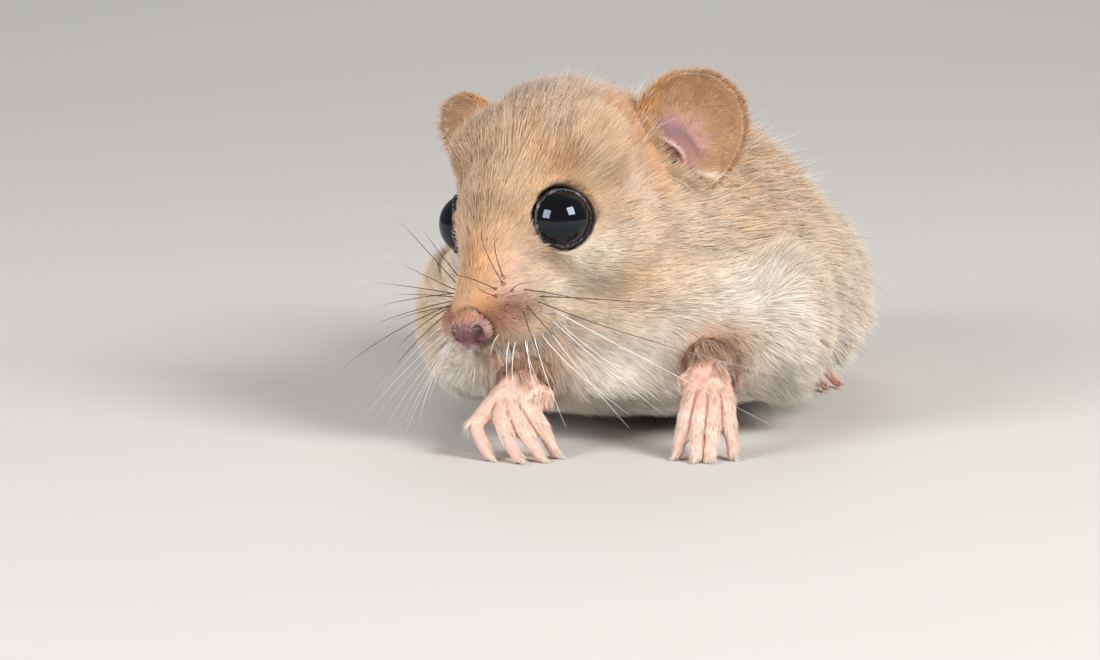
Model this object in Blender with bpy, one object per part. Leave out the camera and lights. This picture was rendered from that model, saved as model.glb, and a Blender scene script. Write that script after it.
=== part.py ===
"""A hazel dormouse at life size, crouching on all fours with its head turned to its right.

It faces -Y, its left side is +X, and the floor is z = 0. Sizes are in millimetres up to the
tips of the short coat, times MM. The soft body is modelled whole and parted with thin cuts.
"""

import math
import random

import bmesh
import bpy
import numpy as np
from mathutils import Euler, Matrix, Vector

MM = 0.001
GAP = 0.3 * MM

# The trunk: station along the body, middle, half width, underside and back
TRUNK = [
    (6.5, 0.6, 8.0, 4.4, 11.6),
    (10.0, 1.2, 13.6, 2.4, 16.2),
    (16.5, 2.6, 17.2, 1.3, 22.0),
    (24.5, 4.0, 18.0, 0.9, 25.3),
    (33.5, 5.0, 18.6, 0.9, 26.8),
    (42.0, 5.2, 18.0, 1.0, 26.2),
    (50.0, 4.6, 15.8, 1.5, 23.2),
    (57.0, 3.8, 11.4, 2.6, 18.2),
    (62.5, 3.2, 5.8, 3.8, 12.0),
]
TRUNK_SIDES = 28
SHOULDERS = {-1: (-11.2, 18.5, 9.2), 1: (14.6, 14.5, 9.2)}
WIDEST_HEIGHT = 0.36  # of the trunk's height, as the loose flanks sag
NARROW_BACK = 0.30  # how far the trunk narrows from its flanks to its spine

# The neck is what lies over this sloping plane
NECK_FOOT = Vector((0, 33.0, 26.5))
NECK_WAY = Vector((0, -0.62, 0.78)).normalized()

# The head turns about the point midway between the eyes
HEAD_PLACE = Vector((-7.5, 10.5, 18.4)) * MM
HEAD_TURN = Euler((math.radians(18), math.radians(-7.5), math.radians(-36)), "YXZ")
HEAD = Matrix.LocRotScale(HEAD_PLACE, HEAD_TURN, None)

# The head ends at one plane behind the ears and one under the jaw, in its own frame
HEAD_ENDS = (
    (Vector((0, 15.0, 4.0)), Vector((0, 0.86, -0.51)).normalized()),
    (Vector((0, 0.0, -10.6)), Vector((0, 0.06, -1.0)).normalized()),
)

EYE_RADIUS, EYE_SUNK = 2.6, 0.6
EYE_OPENING = Vector((5.3, -0.5, 0.2))
EYE_AZIMUTH, EYE_RISE = math.radians(58), math.radians(16)
LID_RADIUS, LID_THICKNESS = 2.85, 0.4

# The ear's rim: degrees from its tip towards its back edge, and how far it is from the canal
EAR_RIM = [
    (-140, 2.2),
    (-90, 2.7),
    (-65, 3.8),
    (-50, 5.0),
    (-38, 6.2),
    (-18, 8.0),
    (0, 8.9),
    (17, 8.8),
    (33, 7.9),
    (50, 6.5),
    (66, 5.4),
    (84, 4.4),
    (125, 2.6),
    (170, 2.0),
    (220, 2.2),
]
EAR_WALL, EAR_DEPTH = 0.6, 2.8
EAR_CANALS = {-1: Vector((-9.8, 9.7, 0.0)), 1: Vector((8.0, 10.6, -0.2))}
EAR_TIP_WAYS = {-1: Vector((0.71, 0.36, 0.66)), 1: Vector((0.55, 0.42, 0.72))}
EAR_FACINGS = {-1: Vector((0.46, -0.87, 0.16)), 1: Vector((0.56, -0.81, 0.18))}

# Both hands, from wrist to fingertips: each finger's knuckle, bend and tip
HANDS = {
    "forepaw_right": (
        (-6.8, 4.9, 5.9),
        ((-9.7, 3.3, 3.7), (-10.9, 2.3, 2.7), (-9.6, 0.5, 0.34)),
        ((-8.7, 2.8, 3.4), (-8.2, 1.0, 1.8), (-7.1, -0.8, 0.34)),
        ((-7.6, 2.8, 3.4), (-6.6, 1.4, 2.0), (-5.4, -0.1, 0.34)),
        ((-6.7, 3.4, 4.2), (-5.5, 2.3, 3.0), (-4.2, 1.5, 0.34)),
    ),
    "forepaw_left": (
        (8.4, 5.0, 7.1),
        ((6.9, 3.0, 4.6), (6.3, 1.8, 2.6), (5.7, 0.9, 0.34)),
        ((7.8, 2.6, 4.4), (7.4, 0.9, 2.3), (7.1, -0.3, 0.34)),
        ((8.7, 2.6, 4.4), (8.6, 0.9, 2.3), (8.5, -0.4, 0.34)),
        ((9.8, 3.0, 4.6), (10.1, 1.8, 2.6), (10.3, 0.8, 0.34)),
    ),
}
FINGER_RADIUS, TOE_RADIUS, CLAW_LENGTH = 0.64, 0.66, 1.2
HIND_FOOT_LENGTH = 15.0

TAIL_LENGTH = 64.0
TAIL_RADII = (3.0, 3.7, 4.0, 4.0, 3.6, 2.9, 0.7)
TAIL_CORE = 0.5
# The tail's locks: where the first ring is rooted, and each lock's size
LOCK_SEED, LOCK_FIRST, LOCKS_ROUND, LOCK_SPACING = 7, 12, 5, 5.6
LOCK_LENGTH, LOCK_WIDTH, LOCK_THICKNESS = 10.5, 4.2, 0.9
# Share of its length, of the coat's radius, of its width and of its thickness
LOCK_SECTIONS = (
    (0.0, 0.3, 0.3, 1.0),
    (0.35, 0.72, 0.5, 1.0),
    (0.7, 0.92, 0.34, 0.8),
    (1.0, 1.0, 0.06, 0.3),
)

# Base colour and roughness of each kind of surface
SURFACES = {
    "coat": ((0.72, 0.44, 0.20, 1.0), 0.9),
    "ear": ((0.60, 0.31, 0.18, 1.0), 0.75),
    "paw": ((0.78, 0.50, 0.42, 1.0), 0.65),
    "nose": ((0.50, 0.26, 0.28, 1.0), 0.5),
    "eye": ((0.008, 0.007, 0.008, 1.0), 0.04),
}


def clear_scene():
    for obj in list(bpy.data.objects):
        bpy.data.objects.remove(obj, do_unlink=True)


def material(kind):
    found = bpy.data.materials.get(kind)
    if found:
        return found
    made = bpy.data.materials.new(kind)
    made.use_nodes = True
    shader = made.node_tree.nodes["Principled BSDF"]
    colour, roughness = SURFACES[kind]
    shader.inputs["Base Color"].default_value = colour
    shader.inputs["Roughness"].default_value = roughness
    shader.inputs["Metallic"].default_value = 0.0
    return made


def placed(name, bm, kind="coat"):
    """The bmesh as a new object of the scene."""
    bmesh.ops.recalc_face_normals(bm, faces=bm.faces)
    mesh = bpy.data.meshes.new(name)
    bm.to_mesh(mesh)
    bm.free()
    mesh.materials.append(material(kind))
    obj = bpy.data.objects.new(name, mesh)
    bpy.context.scene.collection.objects.link(obj)
    return obj


def applied(obj):
    """The object with its modifiers turned into mesh."""
    graph = bpy.context.evaluated_depsgraph_get()
    mesh = bpy.data.meshes.new_from_object(obj.evaluated_get(graph))
    obj.modifiers.clear()
    obj.data = mesh
    return obj


def copied(obj, name):
    twin = obj.copy()
    twin.data = obj.data.copy()
    twin.name = name
    bpy.context.scene.collection.objects.link(twin)
    return twin


def removed(*objects):
    for obj in objects:
        bpy.data.objects.remove(obj, do_unlink=True)


def ellipsoid(bm, centre, radii, frame=None, turn=(0, 0, 0), fineness=3):
    """Adds an ellipsoid. Its centre and radii are in millimetres, in the frame."""
    place = (frame or Matrix.Identity(4)) @ Matrix.Translation(Vector(centre) * MM)
    place = place @ Euler([math.radians(a) for a in turn]).to_matrix().to_4x4()
    place = place @ Matrix.Diagonal((*[r * MM for r in radii], 1))
    bmesh.ops.create_icosphere(bm, subdivisions=fineness, radius=1, matrix=place)


def link(bm, start, start_radius, end, end_radius, frame=None, sides=12):
    """Adds a tapered tube with round ends, as a limb's bone and flesh."""
    start, end = Vector(start), Vector(end)
    ellipsoid(bm, start, [start_radius] * 3, frame, fineness=2)
    ellipsoid(bm, end, [end_radius] * 3, frame, fineness=2)
    along = end - start
    place = Matrix.Translation((start + end) / 2 * MM)
    place = place @ along.to_track_quat("Z", "Y").to_matrix().to_4x4()
    place = (frame or Matrix.Identity(4)) @ place
    bmesh.ops.create_cone(
        bm,
        cap_ends=True,
        segments=sides,
        radius1=start_radius * MM,
        radius2=end_radius * MM,
        depth=along.length * MM,
        matrix=place,
    )


def curve_through(points, count):
    """A smooth line through the points, as a Catmull-Rom spline."""
    points = np.array(points, float)
    ends = np.vstack([2 * points[0] - points[1], points, 2 * points[-1] - points[-2]])
    made = []
    for t in np.linspace(0, len(points) - 1, count):
        i = min(int(t), len(points) - 2)
        a, b, c, d = ends[i : i + 4]
        u = t - i
        made.append(
            0.5
            * (
                2 * b
                + (c - a) * u
                + (2 * a - 5 * b + 4 * c - d) * u**2
                + (3 * b - a - 3 * c + d) * u**3
            )
        )
    return made


def loft(bm, rings):
    """Skins the rings of points, given in millimetres, and closes both ends."""
    loops = [[bm.verts.new(Vector(p) * MM) for p in ring] for ring in rings]
    for near, far in zip(loops, loops[1:]):
        for i in range(len(near)):
            j = (i + 1) % len(near)
            bm.faces.new((near[i], near[j], far[j], far[i]))
    bm.faces.new(loops[0])
    bm.faces.new(reversed(loops[-1]))


def fused(name, bm, voxel, smoothing, triangles, kind="coat"):
    """The bmesh's overlapping shapes as one smooth skin of about that many triangles."""
    obj = placed(name, bm, kind)
    remesh = obj.modifiers.new("Fuse", "REMESH")
    remesh.mode = "VOXEL"
    remesh.voxel_size = voxel * MM
    soften = obj.modifiers.new("Soften", "SMOOTH")
    soften.factor = 0.5
    soften.iterations = smoothing
    return coarse(applied(obj), triangles)


def coarse(obj, triangles):
    now = sum(len(face.vertices) - 2 for face in obj.data.polygons)
    thin = obj.modifiers.new("Thin", "DECIMATE")
    thin.ratio = min(1.0, triangles / now)
    return applied(obj)


def grown(obj, by=GAP):
    """A cutter of the object's shape, larger by the gap."""
    cutter = copied(obj, obj.name + "_grown")
    swell = cutter.modifiers.new("Swell", "DISPLACE")
    swell.strength = by
    swell.mid_level = 0
    return applied(cutter)


def hull_cutter(obj):
    """A rounded cutter that clears all of a thin shell, such as an ear."""
    bm = bmesh.new()
    bm.from_mesh(obj.data)
    hull = bmesh.ops.convex_hull(bm, input=bm.verts)
    spare = [v for v in hull["geom_interior"] if isinstance(v, bmesh.types.BMVert)]
    bmesh.ops.delete(bm, geom=spare, context="VERTS")
    kept = set(hull["geom"])
    extra = [f for f in bm.faces if f not in kept]
    bmesh.ops.delete(bm, geom=extra, context="FACES_ONLY")
    cutter = placed(obj.name + "_hull", bm)
    wide = grown(cutter)
    removed(cutter)
    return wide


def combined(obj, operation, others):
    """The object with the others joined to it, cut from it or kept in common with it."""
    for other in others:
        step = obj.modifiers.new("Combine", "BOOLEAN")
        step.operation = operation
        step.solver = "EXACT"
        step.object = other
        applied(obj)
    return obj


def united(obj, pieces):
    """The object with all the loose pieces joined to it in one step."""
    group = bpy.data.collections.new("pieces")
    for piece in pieces:
        group.objects.link(piece)
    step = obj.modifiers.new("Unite", "BOOLEAN")
    step.operation = "UNION"
    step.solver = "EXACT"
    step.operand_type = "COLLECTION"
    step.collection = group
    applied(obj)
    removed(*pieces)
    bpy.data.collections.remove(group)
    return obj


def sliced(obj, point, normal):
    """Keeps what lies behind the plane and closes the cut."""
    bm = bmesh.new()
    bm.from_mesh(obj.data)
    cut = bmesh.ops.bisect_plane(
        bm,
        geom=bm.verts[:] + bm.edges[:] + bm.faces[:],
        plane_co=point,
        plane_no=normal,
        clear_outer=True,
        dist=1e-7,
    )
    rim = [e for e in cut["geom_cut"] if isinstance(e, bmesh.types.BMEdge)]
    bmesh.ops.holes_fill(bm, edges=rim, sides=0)
    bmesh.ops.triangulate(bm, faces=[f for f in bm.faces if len(f.verts) > 4])
    bm.to_mesh(obj.data)
    bm.free()
    return obj


def largest_body(obj):
    """Keeps the largest closed surface and drops loose scraps."""
    bm = bmesh.new()
    bm.from_mesh(obj.data)
    left, bodies = set(bm.verts), []
    while left:
        found, edge_of = set(), [left.pop()]
        while edge_of:
            v = edge_of.pop()
            found.add(v)
            for e in v.link_edges:
                other = e.other_vert(v)
                if other in left:
                    left.remove(other)
                    edge_of.append(other)
        bodies.append(found)
    bodies.sort(key=len)
    for scrap in bodies[:-1]:
        bmesh.ops.delete(bm, geom=list(scrap), context="VERTS")
    bm.to_mesh(obj.data)
    bm.free()
    return obj


def limb_cutter(name, word, by=0.0):
    """The egg, with an arm on it for a foreleg, that parts a limb from the trunk."""
    side = 1 if word == "left" else -1
    bm = bmesh.new()
    if name == "hindleg":
        ellipsoid(bm, (5.0 + side * 16.5, 42.5, 7.6), (8.5 + by, 12.6 + by, 9.0 + by))
    else:
        x, y, z = SHOULDERS[side]
        middle = (x + side * 1.5, y - 2.5, z - 1.2)
        ellipsoid(bm, middle, (7.5 + by, 7.6 + by, 6.6 + by))
        wrist = Vector(HANDS[f"forepaw_{word}"][0])
        beyond = wrist + Vector((0, -2.5, -2.0))
        link(bm, (x - side * 1.4, y - 4.0, z - 0.8), 4.4 + by, wrist, 3.1 + by)
        link(bm, wrist, 3.1 + by, beyond, 3.1 + by)
    return fused(name, bm, 0.8, 2, 700)


def trunk_ring(station):
    """A pear-shaped section: full, low flanks that narrow to the back."""
    y, middle, half, low, high = station
    widest = low + WIDEST_HEIGHT * (high - low)
    ring = []
    for i in range(TRUNK_SIDES):
        turn = 2 * math.pi * i / TRUNK_SIDES
        rise = math.sin(turn)
        x = middle + half * math.cos(turn) * (1 - NARROW_BACK * rise)
        z = widest + rise * ((high - widest) if rise > 0 else (widest - low))
        ring.append((x, y, z))
    return ring


def add_body(bm):
    """Trunk, neck, shoulders, arms and thighs."""
    loft(bm, [trunk_ring(s) for s in curve_through(TRUNK, 30)])
    ellipsoid(bm, (1.0, 21.0, 16.0), (13.0, 9.8, 9.2), turn=(-12, 0, 0))
    link(bm, (1.5, 24.0, 14.5), 10.0, (-3.0, 16.5, 19.5), 8.4)
    for word, side in (("right", -1), ("left", 1)):
        x, y, z = SHOULDERS[side]
        ellipsoid(bm, (x, y, z), (5.2, 7.0, 7.2))
        elbow = (x - side * 2.4, y - 3.5, z - 0.9)
        link(bm, elbow, 3.4, HANDS[f"forepaw_{word}"][0], 2.1)
        ellipsoid(bm, (5.0 + side * 12.8, 44.0, 8.4), (6.8, 10.8, 7.4), turn=(14, 0, 0))
        ellipsoid(bm, (5.0 + side * 13.2, 36.5, 6.2), (5.4, 5.6, 5.0))


def add_head(bm):
    """The head's flesh and coat, without eyes, ears and nose."""
    ellipsoid(bm, (0, 7.2, 0.6), (8.4, 9.2, 8.6), HEAD)
    ellipsoid(bm, (0, 1.0, -0.4), (5.6, 6.4, 6.4), HEAD)
    ellipsoid(bm, (0, 11.0, 1.6), (7.4, 6.0, 6.2), HEAD)
    ellipsoid(bm, (0, 4.5, -6.0), (7.2, 8.4, 4.6), HEAD)
    ellipsoid(bm, (0, -3.8, -8.0), (3.0, 4.0, 1.9), HEAD)
    link(bm, (0, -0.6, -3.0), 4.8, (0, -7.4, -5.5), 2.7, HEAD)
    link(bm, (0, -1.0, 0.6), 4.2, (0, -7.6, -4.6), 2.2, HEAD)
    ellipsoid(bm, (0, -8.6, -5.7), (1.8, 1.7, 1.7), HEAD)
    for side in (-1, 1):
        ellipsoid(bm, (side * 4.7, 5.4, 3.7), (4.2, 4.4, 4.0), HEAD)
        ellipsoid(bm, (side * 4.9, 5.0, -4.2), (5.0, 7.4, 5.4), HEAD)
        ellipsoid(bm, (side * 2.8, -5.2, -6.2), (2.8, 3.6, 2.5), HEAD)


def whole_shape():
    """Head and body in one skin, before it is parted."""
    bm = bmesh.new()
    add_body(bm)
    add_head(bm)
    return fused("whole", bm, 0.5, 12, 20000)


def head_wedge(name, by=0.0):
    """A block that holds the head down to its two end planes."""
    bm = bmesh.new()
    place = HEAD @ Matrix.Translation(Vector((0, 2, 0)) * MM)
    bmesh.ops.create_cube(bm, size=60 * MM, matrix=place)
    block = placed(name, bm)
    for point, normal in HEAD_ENDS:
        there = HEAD @ ((point + normal * by) * MM)
        sliced(block, there, HEAD.to_3x3() @ normal)
    return block


def eye_axis(side):
    return Vector(
        (
            side * math.sin(EYE_AZIMUTH) * math.cos(EYE_RISE),
            -math.cos(EYE_AZIMUTH) * math.cos(EYE_RISE),
            math.sin(EYE_RISE),
        )
    )


def eye(name, side):
    axis = eye_axis(side)
    opening = Vector((side * EYE_OPENING.x, EYE_OPENING.y, EYE_OPENING.z))
    bm = bmesh.new()
    ellipsoid(bm, opening - axis * EYE_SUNK, [EYE_RADIUS] * 3, HEAD, fineness=3)
    return placed(name, bm, "eye")


def lid_ring(side, segments=20, sides=5):
    """The rim of both lids, a ring round the eyeball."""
    axis = eye_axis(side)
    opening = Vector((side * EYE_OPENING.x, EYE_OPENING.y, EYE_OPENING.z))
    frame = HEAD @ Matrix.Translation((opening + axis * 0.1) * MM)
    frame = frame @ axis.to_track_quat("Z", "Y").to_matrix().to_4x4()
    bm = bmesh.new()
    loops = []
    for i in range(segments):
        turn = 2 * math.pi * i / segments
        loop = []
        for j in range(sides):
            roll = 2 * math.pi * j / sides
            reach = LID_RADIUS + LID_THICKNESS * math.cos(roll)
            p = (reach * math.cos(turn), reach * math.sin(turn))
            height = LID_THICKNESS * math.sin(roll)
            loop.append(bm.verts.new(frame @ (Vector((*p, height)) * MM)))
        loops.append(loop)
    for i in range(segments):
        near, far = loops[i], loops[(i + 1) % segments]
        for j in range(sides):
            k = (j + 1) % sides
            bm.faces.new((near[j], near[k], far[k], far[j]))
    return placed("lid", bm)


def ear(name, side):
    """A shallow cup of even wall round the ear canal, with its own rim."""
    rings, spokes = 4, 24
    facing = Vector((side * EAR_FACINGS[side].x, *EAR_FACINGS[side].yz)).normalized()
    up = Vector((side * EAR_TIP_WAYS[side].x, *EAR_TIP_WAYS[side].yz))
    up = (up - facing * up.dot(facing)).normalized()
    back = facing.cross(up) * -side
    canal = EAR_CANALS[side]
    angles, reaches = zip(*EAR_RIM)

    def at(ring, turn, wall):
        reach = float(np.interp((turn + 140) % 360 - 140, angles, reaches)) * ring / rings
        far = reach / max(reaches)
        hollow = EAR_DEPTH * (1 - far) ** 1.3 + 1.5 * math.sin(math.pi * far) * far
        angle = math.radians(turn)
        p = canal + up * reach * math.cos(angle) + back * reach * math.sin(angle)
        return HEAD @ ((p - facing * (hollow + wall)) * MM)

    bm = bmesh.new()
    shells = []
    for wall in (0.0, EAR_WALL):
        loops = [
            [bm.verts.new(at(ring, 360 * i / spokes, wall)) for i in range(spokes)]
            for ring in range(1, rings + 1)
        ]
        pole = bm.verts.new(at(0, 0, wall))
        for i in range(spokes):
            bm.faces.new((pole, loops[0][i], loops[0][(i + 1) % spokes]))
        for near, far in zip(loops, loops[1:]):
            for i in range(spokes):
                j = (i + 1) % spokes
                bm.faces.new((near[i], near[j], far[j], far[i]))
        shells.append(loops)
    inner, outer = shells[0][-1], shells[1][-1]
    for i in range(spokes):
        j = (i + 1) % spokes
        bm.faces.new((inner[i], inner[j], outer[j], outer[i]))
    bmesh.ops.triangulate(bm, faces=bm.faces)
    return placed(name, bm, "ear")


def nose_shape():
    bm = bmesh.new()
    ellipsoid(bm, (0, -9.2, -5.4), (1.6, 1.4, 1.5), HEAD)
    for side in (-1, 1):
        ellipsoid(bm, (side * 0.95, -9.3, -5.7), (1.05, 1.1, 1.1), HEAD)
        ellipsoid(bm, (side * 0.3, -9.8, -6.7), (0.6, 0.7, 0.6), HEAD)
    return fused("nose", bm, 0.2, 4, 340, "nose")


def nostril(side):
    """A comma-shaped pit: upright, with a slit that runs down and in."""
    bm = bmesh.new()
    low = (side * 1.45, -10.1, -5.9)
    link(bm, (side * 1.45, -10.2, -5.2), 0.4, low, 0.32, HEAD, sides=8)
    link(bm, low, 0.32, (side * 1.0, -10.5, -6.35), 0.2, HEAD, sides=8)
    return fused("nostril", bm, 0.12, 1, 90)


def mouth_groove():
    """A thin curved cutter: the cleft under the nose and the line between the lips."""
    bm = bmesh.new()
    for side in (-1, 1):
        path = [
            (side * 4.4, -2.6, -7.7),
            (side * 3.0, -6.2, -8.1),
            (side * 1.2, -8.4, -7.8),
            (0, -9.2, -7.0),
        ]
        for start, end in zip(path, path[1:]):
            link(bm, start, 0.32, end, 0.32, HEAD, sides=8)
    return fused("mouth_line", bm, 0.16, 1, 200)


def claw(bm, tip, heading, radius=0.3):
    """A small horn cone that goes forward and a little down from a digit's tip."""
    ahead = Vector((math.sin(heading), -math.cos(heading), -0.12))
    place = Matrix.Translation((Vector(tip) + ahead * CLAW_LENGTH * 0.42) * MM)
    place = place @ ahead.to_track_quat("Z", "Y").to_matrix().to_4x4()
    bmesh.ops.create_cone(
        bm,
        cap_ends=True,
        segments=6,
        radius1=radius * MM,
        radius2=0.06 * MM,
        depth=CLAW_LENGTH * MM,
        matrix=place,
    )


def joined_claws(paw, tips, headings, radius):
    for tip, heading in zip(tips, headings):
        bm = bmesh.new()
        claw(bm, tip, heading, radius)
        horn = placed("claw", bm, "paw")
        combined(paw, "UNION", [horn])
        removed(horn)
    return paw


def forepaw(name):
    """A hand with its wrist raised and its four fingers spread on the floor."""
    wrist, *fingers = HANDS[name]
    wrist = Vector(wrist)
    inner = 1 if name.endswith("right") else -1
    bm = bmesh.new()
    tips, headings = [], []
    for knuckle, bend, tip in fingers:
        knuckle, bend, tip = Vector(knuckle), Vector(bend), Vector(tip)
        link(bm, wrist, 1.6, wrist.lerp(knuckle, 0.6), 1.15)
        link(bm, wrist.lerp(knuckle, 0.6), 1.15, knuckle, 0.86)
        link(bm, knuckle, 0.84, bend, FINGER_RADIUS * 1.05)
        link(bm, bend, FINGER_RADIUS * 1.05, tip, FINGER_RADIUS * 0.86)
        ahead = tip - bend
        tips.append(tip)
        headings.append(math.atan2(ahead.x, -ahead.y))
    ellipsoid(bm, wrist + Vector((inner * 1.5, -0.5, -1.4)), (1.15, 1.1, 1.2))
    ellipsoid(bm, wrist + Vector((0, -1.0, -1.6)), (1.7, 1.2, 1.3))
    paw = fused(name, bm, 0.24, 4, 470, "paw")
    sliced(paw, (0, 0, 0), (0, 0, -1))
    return joined_claws(paw, tips, headings, 0.28)


def hindfoot(name, side):
    """A long flat foot under the thigh, heel down, five toes forward and out."""
    heel = Vector((5.0 + side * 11.2, 47.5, 1.45))
    out = math.radians(side * 7)
    ahead = Vector((math.sin(out), -math.cos(out), 0))
    across = Vector((math.cos(out), math.sin(out), 0))
    ball = heel + ahead * HIND_FOOT_LENGTH * 0.62
    bm = bmesh.new()
    link(bm, heel, 1.6, ball, 1.75)
    link(bm, heel + across * 0.5, 1.5, ball + across * 1.1, 1.4)
    link(bm, heel - across * 0.5, 1.5, ball - across * 1.1, 1.4)
    tips, headings = [], []
    for i, reach in enumerate((3.6, 4.9, 5.2, 4.9, 3.9)):
        share = i / 4 - 0.5
        heading = out + share * math.radians(46)
        root = ball + across * share * 3.6 + ahead * (0.5 - 3.0 * share**2)
        forward = Vector((math.sin(heading), -math.cos(heading), 0))
        bend = root + forward * reach * 0.5 + Vector((0, 0, 0.15))
        tip = root + forward * reach
        tip.z = 0.5
        link(bm, root, 0.95, bend, TOE_RADIUS)
        link(bm, bend, TOE_RADIUS, tip, TOE_RADIUS * 0.9)
        tips.append(tip)
        headings.append(heading)
    foot = fused(name, bm, 0.3, 5, 360, "paw")
    sliced(foot, (0, 0, 0), (0, 0, -1))
    return joined_claws(foot, tips, headings, 0.3)


def tail_line():
    """The tail leaves the rump low, comes down to the floor and bends to the left."""
    return [
        (3.3, 60.0, 8.0),
        (3.6, 68.0, 5.8),
        (5.0, 80.5, 4.3),
        (5.8, 93.0, 4.0),
        (4.2, 105.0, 3.5),
        (-1.2, 115.5, 1.7),
    ]


def tail_frames():
    """The tail's line with its heading, its two cross ways and its radius, by share."""
    line = [Vector(p) for p in curve_through(tail_line(), 121)]
    shares = np.linspace(0, 1, len(TAIL_RADII))
    frames = []
    for i, middle in enumerate(line):
        along = (line[min(i + 1, 120)] - line[max(i - 1, 0)]).normalized()
        across = along.cross(Vector((0, 0, 1))).normalized()
        radius = float(np.interp(i / 120, shares, TAIL_RADII))
        frames.append((middle, along, across, across.cross(along), radius))
    return frames


def tail_tube(name, thinner, sides=14):
    """The whole tail as a tube whose radius is a share of the coat's outline."""
    bm = bmesh.new()
    rings = []
    for middle, _, across, upward, radius in tail_frames()[::6]:
        ring = []
        for k in range(sides):
            turn = 2 * math.pi * k / sides
            way = across * math.cos(turn) + upward * math.sin(turn)
            p = middle + way * radius * thinner
            ring.append((p.x, p.y, max(p.z, 0.0)))
        rings.append(ring)
    loft(bm, rings)
    return placed(name, bm)


def tail_lock(frames, start, turn, length, width):
    """A flat lock of the bushy coat, rooted in the core and pointed at its tip."""
    step = TAIL_LENGTH / 120
    bm = bmesh.new()
    loops = []
    for share, reach, wide, thick in LOCK_SECTIONS:
        i = min(round(start + share * length / step), 120)
        middle, along, across, upward, radius = frames[i]
        out = across * math.cos(turn) + upward * math.sin(turn)
        side = along.cross(out)
        p = middle + out * radius * reach
        corners = [
            p + side * width * wide,
            p + out * LOCK_THICKNESS * thick,
            p - side * width * wide,
        ]
        for c in corners:
            c.z = max(c.z, 0.05 + 0.1 * share)
        loops.append([bm.verts.new(c * MM) for c in corners])
    for near, far in zip(loops, loops[1:]):
        for j in range(3):
            k = (j + 1) % 3
            bm.faces.new((near[j], near[k], far[k], far[j]))
    bm.faces.new(loops[0])
    bm.faces.new(reversed(loops[-1]))
    bmesh.ops.triangulate(bm, faces=bm.faces)
    return placed("lock", bm)


def bushy_tail():
    """The tail's core and its coat of locks as one body, cut in three lengths."""
    chance = random.Random(LOCK_SEED)
    frames = tail_frames()
    tail = tail_tube("tail", TAIL_CORE)
    locks = []
    start, ring = LOCK_FIRST, 0
    while start < 100:
        around = LOCKS_ROUND if start < 76 else LOCKS_ROUND - 1
        for k in range(around):
            turn = 2 * math.pi * (k + 0.5 * (ring % 2)) / around
            turn += chance.uniform(-0.12, 0.12)
            length = LOCK_LENGTH * chance.uniform(0.88, 1.12)
            width = LOCK_WIDTH * chance.uniform(0.9, 1.1)
            slid = start + chance.uniform(-1.2, 1.2)
            length = min(length, (119.0 - slid) / 120 * TAIL_LENGTH)
            locks.append(tail_lock(frames, slid, turn, length, width))
        start += LOCK_SPACING / TAIL_LENGTH * 120
        ring += 1
    united(tail, locks)
    pieces = []
    names = ("tail_base", "tail_middle", "tail_tip")
    for name, first, last in zip(names, (0, 41, 80), (41, 80, 120)):
        piece = copied(tail, name)
        if first:
            middle, along = frames[first][:2]
            sliced(piece, (middle + along * GAP / MM / 2) * MM, -along)
        if last < 120:
            middle, along = frames[last][:2]
            sliced(piece, (middle - along * GAP / MM / 2) * MM, along)
        pieces.append(largest_body(piece))
    removed(tail)
    return pieces


def parted():
    """Head and body, cut apart, with the ears' hollows, sockets, lids and mouth."""
    ears = [ear("ear_right", -1), ear("ear_left", 1)]
    hollows = [hull_cutter(e) for e in ears]
    head = whole_shape()
    combined(head, "DIFFERENCE", hollows)
    removed(*hollows)
    body = copied(head, "body")
    rough = head_wedge("rough_head", 1.5)
    combined(head, "INTERSECT", [rough])
    coarse(head, 1500)
    exact, wide = head_wedge("head_block"), head_wedge("wide_block", GAP / MM)
    combined(head, "INTERSECT", [exact])
    head.name = "head"
    coarse(body, 1700)
    combined(body, "DIFFERENCE", [wide])
    removed(rough, exact, wide)

    nose = nose_shape()
    holes = [nostril(side) for side in (-1, 1)]
    combined(nose, "DIFFERENCE", holes)
    plain_nose = nose_shape()
    nose_cutter = grown(plain_nose)
    eyes = [eye("eye_right", -1), eye("eye_left", 1)]
    lids = [lid_ring(side) for side in (-1, 1)]
    sockets = [grown(e) for e in eyes]
    mouth = mouth_groove()
    combined(head, "UNION", lids)
    combined(head, "DIFFERENCE", [*sockets, nose_cutter, mouth])
    largest_body(head)
    removed(*holes, plain_nose, nose_cutter, *lids, *sockets, mouth)
    return head, body, nose, eyes, ears


def centred(objects):
    """Moves everything so that the middle of its outline's box is over the origin."""
    corners = [o.matrix_world @ v.co for o in objects for v in o.data.vertices]
    low = Vector([min(c[i] for c in corners) for i in range(3)])
    high = Vector([max(c[i] for c in corners) for i in range(3)])
    shift = Vector((-(low.x + high.x) / 2, -(low.y + high.y) / 2, -low.z))
    for obj in objects:
        obj.data.transform(Matrix.Translation(shift))
    return shift


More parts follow.
